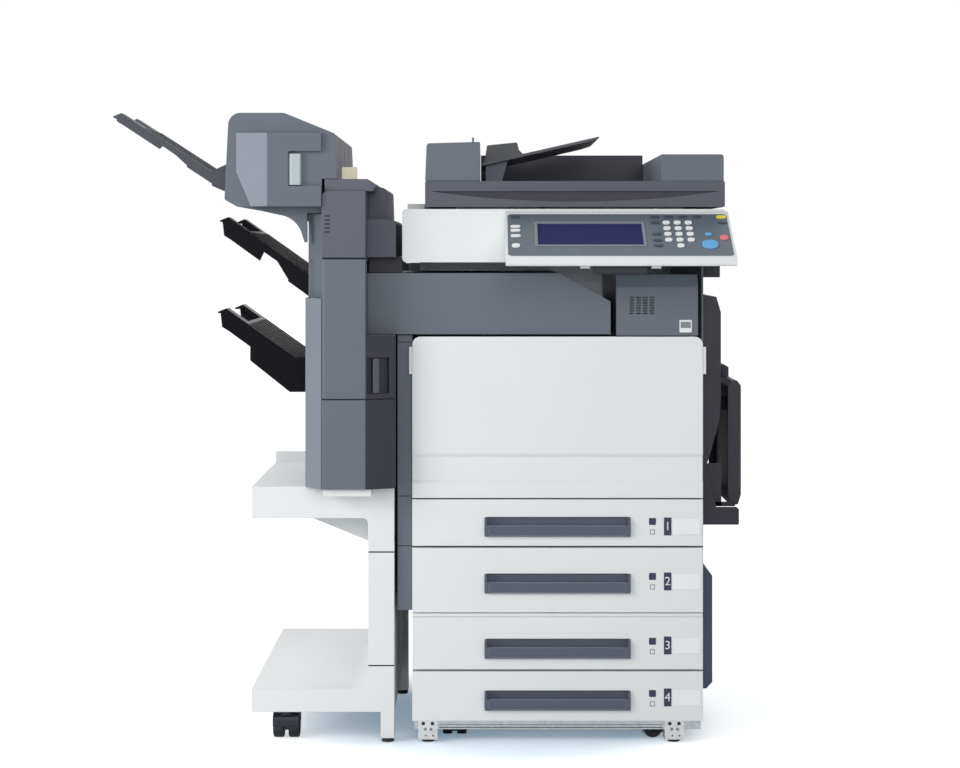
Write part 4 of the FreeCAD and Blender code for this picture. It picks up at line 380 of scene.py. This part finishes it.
# bounds between the groups of keys, along x and up the face
left_keys, right_keys, first_column, blue_column, last_column = 0.2, 0.43, 0.4515, 0.525, 0.555
upper_rows, top_row = 0.1, 0.134
paint(["panel_face"], film, (
    display, lambda x, y, z: (x > display_left) & (x < display_right)
    & (up_face(y, z) > display_foot) & (up_face(y, z) < display_head)))
paint(["panel_keys"], key_white,
      (key_dark, lambda x, y, z: (x > right_keys) & ((x < first_column) | (up_face(y, z) > top_row))
       | (x < left_keys) & (up_face(y, z) > top_row) | (x > last_column) & (up_face(y, z) > upper_rows)),
      (key_yellow, lambda x, y, z: (x > last_column + 0.001) & (up_face(y, z) > top_row)),
      (key_blue, lambda x, y, z: (x > blue_column) & (x < last_column - 0.005)
       & (up_face(y, z) < upper_rows)))
paint(["start_key"], key_blue)
paint(["stop_key"], key_red)
# the fold head's latch is a pale satin moulding
paint(["head_latch"], moulded_plastic("moulded_pale_latch", "#aeb8bd", "#d3dadc", roughness=0.4))


def outline_rows(centre, across, up, size, corner, profile, least):
    """A rounded rectangle carried through a profile of (inset, level), as rows of points.

    Each corner arc is (half - inset - r) + r * (cos, sin) over a quarter turn, and r = corner - inset,
    but never under least; level is measured square to the face that across and up lie in.
    """
    across, up = np.array(across, float), np.array(up, float)
    turn = np.linspace(0, np.pi / 2, 7)
    quarter = np.concatenate([turn + np.pi / 2 * index for index in range(4)])
    arc = np.stack([np.cos(quarter), np.sin(quarter)], axis=-1)
    signs = np.repeat([[1, 1], [-1, 1], [-1, -1], [1, -1]], len(turn), axis=0)
    inset, level = np.array(profile).T[:, :, None, None]
    radius = np.maximum(corner - inset, least)
    spot = signs * (np.array(size) / 2 - inset - radius) + radius * arc
    return np.array(centre) + spot[..., :1] * across + spot[..., 1:] * up + np.cross(across, up) * level


def slab(name, centre, across, up, size, thickness, corner, material, body, bevel=0.0003):
    """A thin plate standing on a face, with its front edge rolled over by the bevel."""
    bevel = min(bevel, thickness * 0.8)
    profile = [(0.0, 0.0), (0.0, thickness - bevel), (bevel * 0.3, thickness - bevel * 0.3),
               (bevel, thickness)]
    rows = outline_rows(centre, across, up, size, corner, profile, 0.00005)
    made = grid_mesh(name, rows, material, body)
    return made


def ring(name, centre, across, up, size, width, thickness, corner, material, body, slot_name):
    """A flat frame round an opening: the outer outline, rolled over to an inner outline a given width in."""
    edge = thickness * 0.4
    profile = [(0.0, 0.0), (0.0, thickness - edge), (edge, thickness), (width - edge, thickness),
               (width, thickness - edge), (width, 0.0), (0.0, 0.0)]
    rows = outline_rows(centre, across, up, size, corner, profile, 0.0002)
    made = grid_mesh(name, rows, material, body, ends=False)
    return made


def on_face(x, v, lift=0.0):
    """A point of the control panel's face, x along it and v up it, lifted square to it."""
    return face_foot + np.array([x, 0.0, 0.0]) + face_up * v + face_out * lift


x_axis, y_axis, z_axis = (1, 0, 0), (0, 1, 0), (0, 0, 1)
# the display's bezel is a smooth grey moulding, lighter than the film, so it outlines the window
bezel = moulded_plastic("moulded_grey_bezel", "#7b8088", "#9aa0a8", roughness=0.35, depth=0.05)
display_middle = (display_foot + display_head) / 2
ring("display_bezel", on_face((display_left + display_right) / 2, display_middle), x_axis, face_up,
     (0.212, 0.089), 0.0058, 0.0012, 0.004, bezel, "control_panel", "face_gloss")

# two fine printed rules set the display field apart from the keys
for index, place in enumerate((0.204, 0.4235)):
    slab(f"panel_rule_{index + 1}", on_face(place, display_middle), x_axis, face_up, (0.0009, 0.118), 0.0001,
         0.0004, bezel, "control_panel")

# ---------------------------------------------------------------------------------------------------
# Drawer marks: a navy number plate with a pale numeral, a navy level window, its small frame mark below,
# and a blank card label at the right. All lie flat on the drawer front.
# the plates are smooth and hold a small sharp highlight; the card is matt, with a fine fibre
navy = moulded_plastic("moulded_navy_plate", "#2b3148", "#474e68", roughness=0.35, depth=0.05)
paper_card = moulded_plastic("printed_card", "#e9ebec", "#f2f3f3", roughness=0.6, grain=0.0006, depth=0.05)
front_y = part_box("drawer_one_front")[0].y + 0.0065
plate_x, window_x, label_x = 0.4687, 0.439, 0.5055
# for each drawer: its numeral, and the heights of its number plate and its level window
marks = {"one": ("1", 0.4219, 0.4316), "two": ("2", 0.3146, 0.3244),
         "three": ("3", 0.1898, 0.1980), "four": ("4", 0.0884, 0.0962)}


def numeral(name, text, centre, height, material, body):
    """A raised numeral: a text outline given depth, made a mesh and turned to stand on the front."""
    curve = bpy.data.curves.new(name, "FONT")
    curve.body = text
    curve.size = height
    curve.extrude = 0.0002
    curve.align_x = "CENTER"
    curve.align_y = "CENTER"
    draft = bpy.data.objects.new(f"{name}_outline", curve)
    bpy.context.scene.collection.objects.link(draft)
    bpy.context.view_layer.update()
    mesh = bpy.data.meshes.new_from_object(draft)
    bpy.data.objects.remove(draft)
    points = np.empty(len(mesh.vertices) * 3)
    mesh.vertices.foreach_get("co", points)
    points = points.reshape(-1, 3)
    placed = np.stack([points[:, 0], -points[:, 2], points[:, 1]], axis=-1) + np.array(centre)
    mesh.vertices.foreach_set("co", placed.ravel())
    mesh.materials.clear()
    mesh.materials.append(material)
    made = bpy.data.objects.new(name, mesh)
    bpy.context.scene.collection.objects.link(made)
    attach(made, body)
    return made


for drawer, (digit, plate_level, window_level) in marks.items():
    body = f"drawer_{drawer}"
    slab(f"{body}_number_plate", (plate_x, front_y, plate_level), x_axis, z_axis, (0.0146, 0.035), 0.0006,
         0.0008, navy, body)
    numeral(f"{body}_numeral", digit, (plate_x, front_y - 0.0006, plate_level), 0.0235, key_white, body)
    slab(f"{body}_level_window", (window_x, front_y, window_level), x_axis, z_axis, (0.0136, 0.0136), 0.0006,
         0.0018, navy, body)
    ring(f"{body}_level_mark", (window_x, front_y, window_level - 0.0205), x_axis, z_axis, (0.0095, 0.0095),
         0.0011, 0.0003, 0.0006, slate_abs, body, "blue_cover")
    slab(f"{body}_size_label", (label_x, front_y, plate_level), x_axis, z_axis, (0.056, 0.033), 0.0004,
         0.0008, paper_card, body)

# The scoop of each handle has a rolled rim on its lip, smooth and painted lighter: a painted highlight along
# the lip.
rim_painted_highlight_slate = moulded_plastic("slate_rim_painted_highlight", "#7a8292", "#a3abb8", roughness=0.25, depth=0.02)
for drawer, drop in handle_drops.items():
    low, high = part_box(f"drawer_{drawer}_front")
    rim_level = high.z - drop - 0.0070
    ring(f"drawer_{drawer}_handle_rim", ((low.x + high.x) / 2, low.y, rim_level), x_axis, z_axis,
         (0.268, 0.0205), 0.0011, 0.0007, 0.0062, rim_painted_highlight_slate, f"drawer_{drawer}", "handle_and_tray")

# ---------------------------------------------------------------------------------------------------
# Left cover: lengths of moulded trim butted end to end up the printer's left edge.
# A thin black strip on the surface shows the dark joint between each two.
low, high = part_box("side_covers")
trim_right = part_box("front_door")[0].x + 0.0055
for index, level in enumerate((0.383, 0.480, 0.781)):
    slab(f"left_cover_joint_{index + 1}", ((low.x + trim_right) / 2, low.y, level), x_axis, z_axis,
         (trim_right - low.x - 0.0008, 0.0013), 0.0002, 0.0003, joint_black_and_painted_shade, "machine")

# ---------------------------------------------------------------------------------------------------
# Foot brackets: bright nickel-plated steel plates bolted in front of the floor frame, with two bolts,
# two screws and two holes each. The rolled groove of the front rail is shown by a black and a grey strip.
nickel = plated_sheet("bright_nickel_plate", "#e3e5e6", patch=0.003)
bracket_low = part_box("base_frame")[0]
paint(["base_frame"], zinc, (nickel, lambda x, y, z: y < bracket_low.y + 0.0026))
# each fixing: how far across from the bracket's middle, height, radius and finish
for side, middle in (("left", 0.001), ("right", 0.482)):
    for index, (across, level, radius, finish) in enumerate((
            (-0.009, 0.0372, 0.0036, unit_nylon), (0.009, 0.0372, 0.0036, unit_nylon),
            (-0.005, 0.0262, 0.0031, bezel), (0.006, 0.0262, 0.0031, bezel),
            (-0.004, 0.0135, 0.0016, joint_black_and_painted_shade), (0.010, 0.0135, 0.0016, joint_black_and_painted_shade))):
        slab(f"{side}_bracket_fixing_{index + 1}", (middle + across, bracket_low.y, level), x_axis, z_axis,
             (radius * 2, radius * 2), 0.0007, radius * 0.98, finish, "machine")
rail_front = bracket_low.y + 0.0028
for index, (level, finish) in enumerate(((0.0292, joint_black_and_painted_shade), (0.0345, bezel))):
    slab(f"front_rail_groove_{index + 1}", (0.2415, rail_front, level), x_axis, z_axis, (0.437, 0.0016),
         0.0002, 0.0006, finish, "machine")

# ---------------------------------------------------------------------------------------------------
# Caster hoods of the cabinet: a nylon arch snapped over each pair of wheels, riding on its fork.
# The arch is swept: (r cos a, r sin a) for a from -24 to 204 degrees, then back along the inner radius.
for name in ("caster_left", "caster_right"):
    low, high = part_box(f"{name}_wheels")
    middle = np.array([(low[i] + high[i]) / 2 for i in range(3)])
    wheel_radius = (high.z - low.z) / 2
    angle = np.radians(np.linspace(-24, 204, 40))
    outer = (wheel_radius + 0.0026) * np.stack([np.cos(angle), np.sin(angle)], axis=-1)
    inner = (wheel_radius + 0.0009) * np.stack([np.cos(angle), np.sin(angle)], axis=-1)[::-1]
    section = np.concatenate([outer, inner])
    axle = 1 if name == "caster_right" else 0
    rows = []
    for along in (-0.0215, 0.0215):
        points = np.zeros((len(section), 3))
        points[:, axle] = along
        points[:, 1 - axle] = section[:, 0] * (1 if axle == 0 else -1)
        points[:, 2] = section[:, 1]
        rows.append(points + middle)
    hood = grid_mesh(f"{name}_hood", np.array(rows), unit_nylon, f"{name}_fork")

# ---------------------------------------------------------------------------------------------------
# Tray ribs: raised runners moulded along the slope of each output tray, polished by the sheets.
# A rib lies on the line from the tray's nose to its root, square across the slope.
runner = moulded_plastic("polished_tray_runner", "#0e0e16", "#2a2b36", roughness=0.25, depth=0.02,
                         sheen=0.15)


def tray_ribs(tray, reach, drop, nose, notch, count, material, body):
    """Ribs down a sloping tray, from behind its notch to its root, evenly set across its width."""
    low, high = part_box(tray)
    slope = np.array([reach - nose, 0.0, -drop])
    slope /= np.linalg.norm(slope)
    start = notch + 0.006
    length = (reach - start - 0.006) / slope[0]
    foot = np.array([low.x + nose, 0.0, high.z]) + slope * ((start - nose) / slope[0] + length / 2)
    for index in range(count):
        share = (index + 0.5) / count
        place = foot + np.array([0.0, low.y + 0.006 + share * (high.y - low.y - 0.012), 0.0])
        slab(f"{tray}_rib_{index + 1}", place, slope, y_axis, (length, 0.0035), 0.0016, 0.0012, material,
             body, bevel=0.0006)


tray_ribs("top_tray", 0.198, 0.117, 0.017, 0.055, 7, tray_grey, "top_tray")
tray_ribs("middle_tray", 0.178, 0.114, 0.017, 0.055, 8, runner, "machine")
tray_ribs("lower_tray", 0.178, 0.114, 0.017, 0.055, 8, runner, "lower_tray")

# ---------------------------------------------------------------------------------------------------
# Finisher tower and desk: vents, joint strips, the door's grip bar and a steel stay, each fixed to the
# casing that it lies on. The five cooling slots of the upper casing are shown by a charcoal liner in each.
vent_x, vent_foot, vent_pitch = -0.191, 0.9960, 0.0076
for index in range(5):
    slab(f"tower_vent_{index + 1}", (vent_x, upper_low.y, vent_foot + vent_pitch * index), x_axis, z_axis,
         (0.0098, 0.0034), 0.0004, 0.0012, charcoal_and_painted_shade_abs, "machine")

# thin black strips on the surface show the joints above and below the tower's door and the desk's column
joint, joint_offset = 0.0026, 0.0014  # a strip's height, and how far its middle lies off the casing's edge
facet_run = np.array([tower_high.x - tower_turn, 0.0200, 0.0])
facet_middle = np.array([tower_turn, tower_low.y, 0.0]) + facet_run / 2
facet = facet_run / np.linalg.norm(facet_run)
for label, level in (("door_foot", tower_low.z - joint_offset), ("door_head", upper_low.z + joint_offset)):
    slab(f"tower_{label}_joint", ((tower_low.x + tower_turn) / 2, tower_low.y, level), x_axis, z_axis,
         (tower_turn - tower_low.x - 0.0005, joint), 0.0002, 0.0003, joint_black_and_painted_shade, "machine")
slab("tower_door_foot_joint_right", (facet_middle[0], facet_middle[1], tower_low.z - joint_offset), facet,
     z_axis, (0.0582, joint), 0.0002, 0.0003, joint_black_and_painted_shade, "machine")
desk_low, desk_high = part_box("desk_column")
for index, level in enumerate((desk_low.z, desk_high.z)):
    slab(f"desk_column_joint_{index + 1}", ((desk_low.x + desk_high.x) / 2, desk_low.y, level), x_axis,
         z_axis, (0.0502, joint), 0.0002, 0.0003, joint_black_and_painted_shade, "machine")

# the bar that fingers close on stands in the door's grip pocket, in the darker grade painted as shade on the
# door's right facet
slab("tower_door_grip_bar", (-0.0975, -0.28515, 0.7188), facet, z_axis, (0.0120, 0.0660), 0.0010, 0.0016,
     painted_shade_abs, "tower_door")

# the stay beside the fold head is folded from passivated steel, which has a dull buff cast
buff = plated_sheet("passivated_steel", "#a9a593")
slab("head_stay", (-0.150, -0.262, upper_high.z + 0.012), x_axis, z_axis, (0.030, 0.024), 0.0015, 0.0015,
     buff, "machine")
slab("head_stay_foot", (-0.150, -0.2545, upper_high.z), x_axis, y_axis, (0.030, 0.016), 0.0015, 0.0015,
     buff, "machine")

# ---------------------------------------------------------------------------------------------------
# Side door: a charcoal web plate and a sill between its arms close the opening beside the bypass tray; both
# are dark sheets of painted shade, where the tray's inner side lies in shade. They are thin plates that turn
# with the door and stop just clear of the tray.
slab("side_door_shade_web", (0.5670, -0.1485, 0.4925), x_axis, z_axis, (0.0350, 0.0860), 0.0015, 0.0030, charcoal_and_painted_shade_abs,
     "side_door")
slab("side_door_shade_sill", (0.5820, -0.1485, 0.4541), x_axis, z_axis, (0.0600, 0.0092), 0.0015, 0.0020, charcoal_and_painted_shade_abs,
     "side_door")

# ---------------------------------------------------------------------------------------------------
# Relay unit: a charcoal web on its deck closes the opening under the tower's side casing; it is a dark sheet
# of painted shade. It stays matt and dark, so no light shows through there.
slab("relay_deck_shade_web", (-0.0833, -0.2000, 0.9321), x_axis, z_axis, (0.0660, 0.0308), 0.0020, 0.0010, charcoal_and_painted_shade_abs,
     "machine")

# ---------------------------------------------------------------------------------------------------
# Rating sticker: a blank pale film stuck on the upper cover, with a grey field printed on it.
# It lies flat, so only its edge and its two tones show.
label_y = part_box("front_upper_cover")[0].y
slab("cover_sticker", (0.504, label_y, 0.8124), x_axis, z_axis, (0.0242, 0.0246), 0.0003, 0.001, paper_card,
     "machine")
slab("cover_sticker_field", (0.504, label_y - 0.0003, 0.8150), x_axis, z_axis, (0.0196, 0.0120), 0.0002,
     0.0006, bezel, "machine")

# ---------------------------------------------------------------------------------------------------
# Floor, light and camera. The floor is matt pale paint that keeps the soft contact shadows; to the camera
# it also emits light, white far off and bluish in a soft oval round the machine, a painted shadow under it.
floor_paint = bpy.data.materials.new("matt_floor_paint")
floor_paint.use_nodes = True
floor_tree = floor_paint.node_tree
floor_shader = floor_tree.nodes["Principled BSDF"]
floor_shader.inputs["Base Color"].default_value = linear("#eef0f1")
floor_shader.inputs["Roughness"].default_value = 0.9
spot = add(floor_tree, "ShaderNodeTexCoord").outputs["Object"]
oval_middle, oval_stretch = (0.14, -0.05, 0.0), (2.5, 3.0, 0.0)
offset = add(floor_tree, "ShaderNodeVectorMath", {0: spot, 1: oval_middle}, operation="SUBTRACT")
spread = add(floor_tree, "ShaderNodeVectorMath", {0: offset.outputs["Vector"], 1: oval_stretch},
             operation="MULTIPLY")
reach = add(floor_tree, "ShaderNodeVectorMath", {0: spread.outputs["Vector"]}, operation="LENGTH")
painted_shadow_falloff = add(floor_tree, "ShaderNodeMapRange", {"Value": reach.outputs["Value"], "From Min": 0.7,
                                              "From Max": 1.3}, interpolation_type="SMOOTHSTEP")
painted_shadow_tint = add(floor_tree, "ShaderNodeMix", {"Factor": painted_shadow_falloff.outputs["Result"]}, data_type="RGBA")
# the bluish colour of the oval is the painted shadow round the machine's foot
painted_shadow_tint.inputs[6].default_value = linear("#8aa3b8")
painted_shadow_tint.inputs[7].default_value = linear("#ffffff")
floor_tree.links.new(painted_shadow_tint.outputs[2], floor_shader.inputs["Emission Color"])
camera_ray = add(floor_tree, "ShaderNodeLightPath").outputs["Is Camera Ray"]
glow = add(floor_tree, "ShaderNodeMath", {0: camera_ray, 1: 0.62}, operation="MULTIPLY")
floor_tree.links.new(glow.outputs["Value"], floor_shader.inputs["Emission Strength"])
floor_mesh = bpy.data.meshes.new("floor")
floor_mesh.from_pydata([(-30, -30, 0), (30, -30, 0), (30, 30, 0), (-30, 30, 0)], [], [(0, 1, 2, 3)])
floor_mesh.materials.append(floor_paint)
floor = bpy.data.objects.new("floor", floor_mesh)
bpy.context.scene.collection.objects.link(floor)

# the world is white to the camera, in reflections and through glass, and dimmer as a source of light
world = bpy.data.worlds.new("studio")
bpy.context.scene.world = world
world.use_nodes = True
world_tree = world.node_tree
background = world_tree.nodes["Background"]
background.inputs["Color"].default_value = linear("#ffffff")
ray = add(world_tree, "ShaderNodeLightPath")
seen = add(world_tree, "ShaderNodeMath", {0: ray.outputs["Is Camera Ray"],
                                          1: ray.outputs["Is Transmission Ray"]}, operation="MAXIMUM")
seen_glossy = add(world_tree, "ShaderNodeMath", {0: seen.outputs["Value"], 1: ray.outputs["Is Glossy Ray"]},
                  operation="MAXIMUM")
strength = add(world_tree, "ShaderNodeMapRange", {"Value": seen_glossy.outputs["Value"], "To Min": 0.44,
                                                  "To Max": 1.0})
world_tree.links.new(strength.outputs["Result"], background.inputs["Strength"])


def softbox(name, place, target, size, energy):
    """A square area lamp at a place, turned to face a target."""
    lamp = bpy.data.lights.new(name, "AREA")
    lamp.size = size
    lamp.energy = energy
    made = bpy.data.objects.new(name, lamp)
    made.location = place
    aim = np.array(target) - np.array(place)
    tilt = math.atan2(math.hypot(aim[0], aim[1]), -aim[2])
    made.rotation_euler = (tilt, 0, math.atan2(-aim[0], aim[1]))
    bpy.context.scene.collection.objects.link(made)


# a key from the left, a broad fill from the front, and a weaker lamp above, off the panel's mirror angle
softbox("key", (-2.7, -1.9, 1.6), (0.0, -0.1, 0.7), 1.4, 54)
softbox("fill", (0.6, -4.2, 2.2), (0.1, -0.1, 0.6), 2.4, 44)
softbox("top", (-1.5, 0.5, 2.7), (-0.2, 0.0, 0.5), 1.4, 26)

camera_data = bpy.data.cameras.new("camera")
camera_data.sensor_width = 36
camera_data.lens = 72.1
camera_data.shift_x = -0.0031
camera_data.shift_y = -0.1406
camera = bpy.data.objects.new("camera", camera_data)
camera.location = (0.1085, -3.9875, 0.963)
camera.rotation_euler = (math.radians(90), 0, 0)
bpy.context.scene.collection.objects.link(camera)
bpy.context.scene.camera = camera
bpy.context.scene.view_settings.view_transform = "Standard"
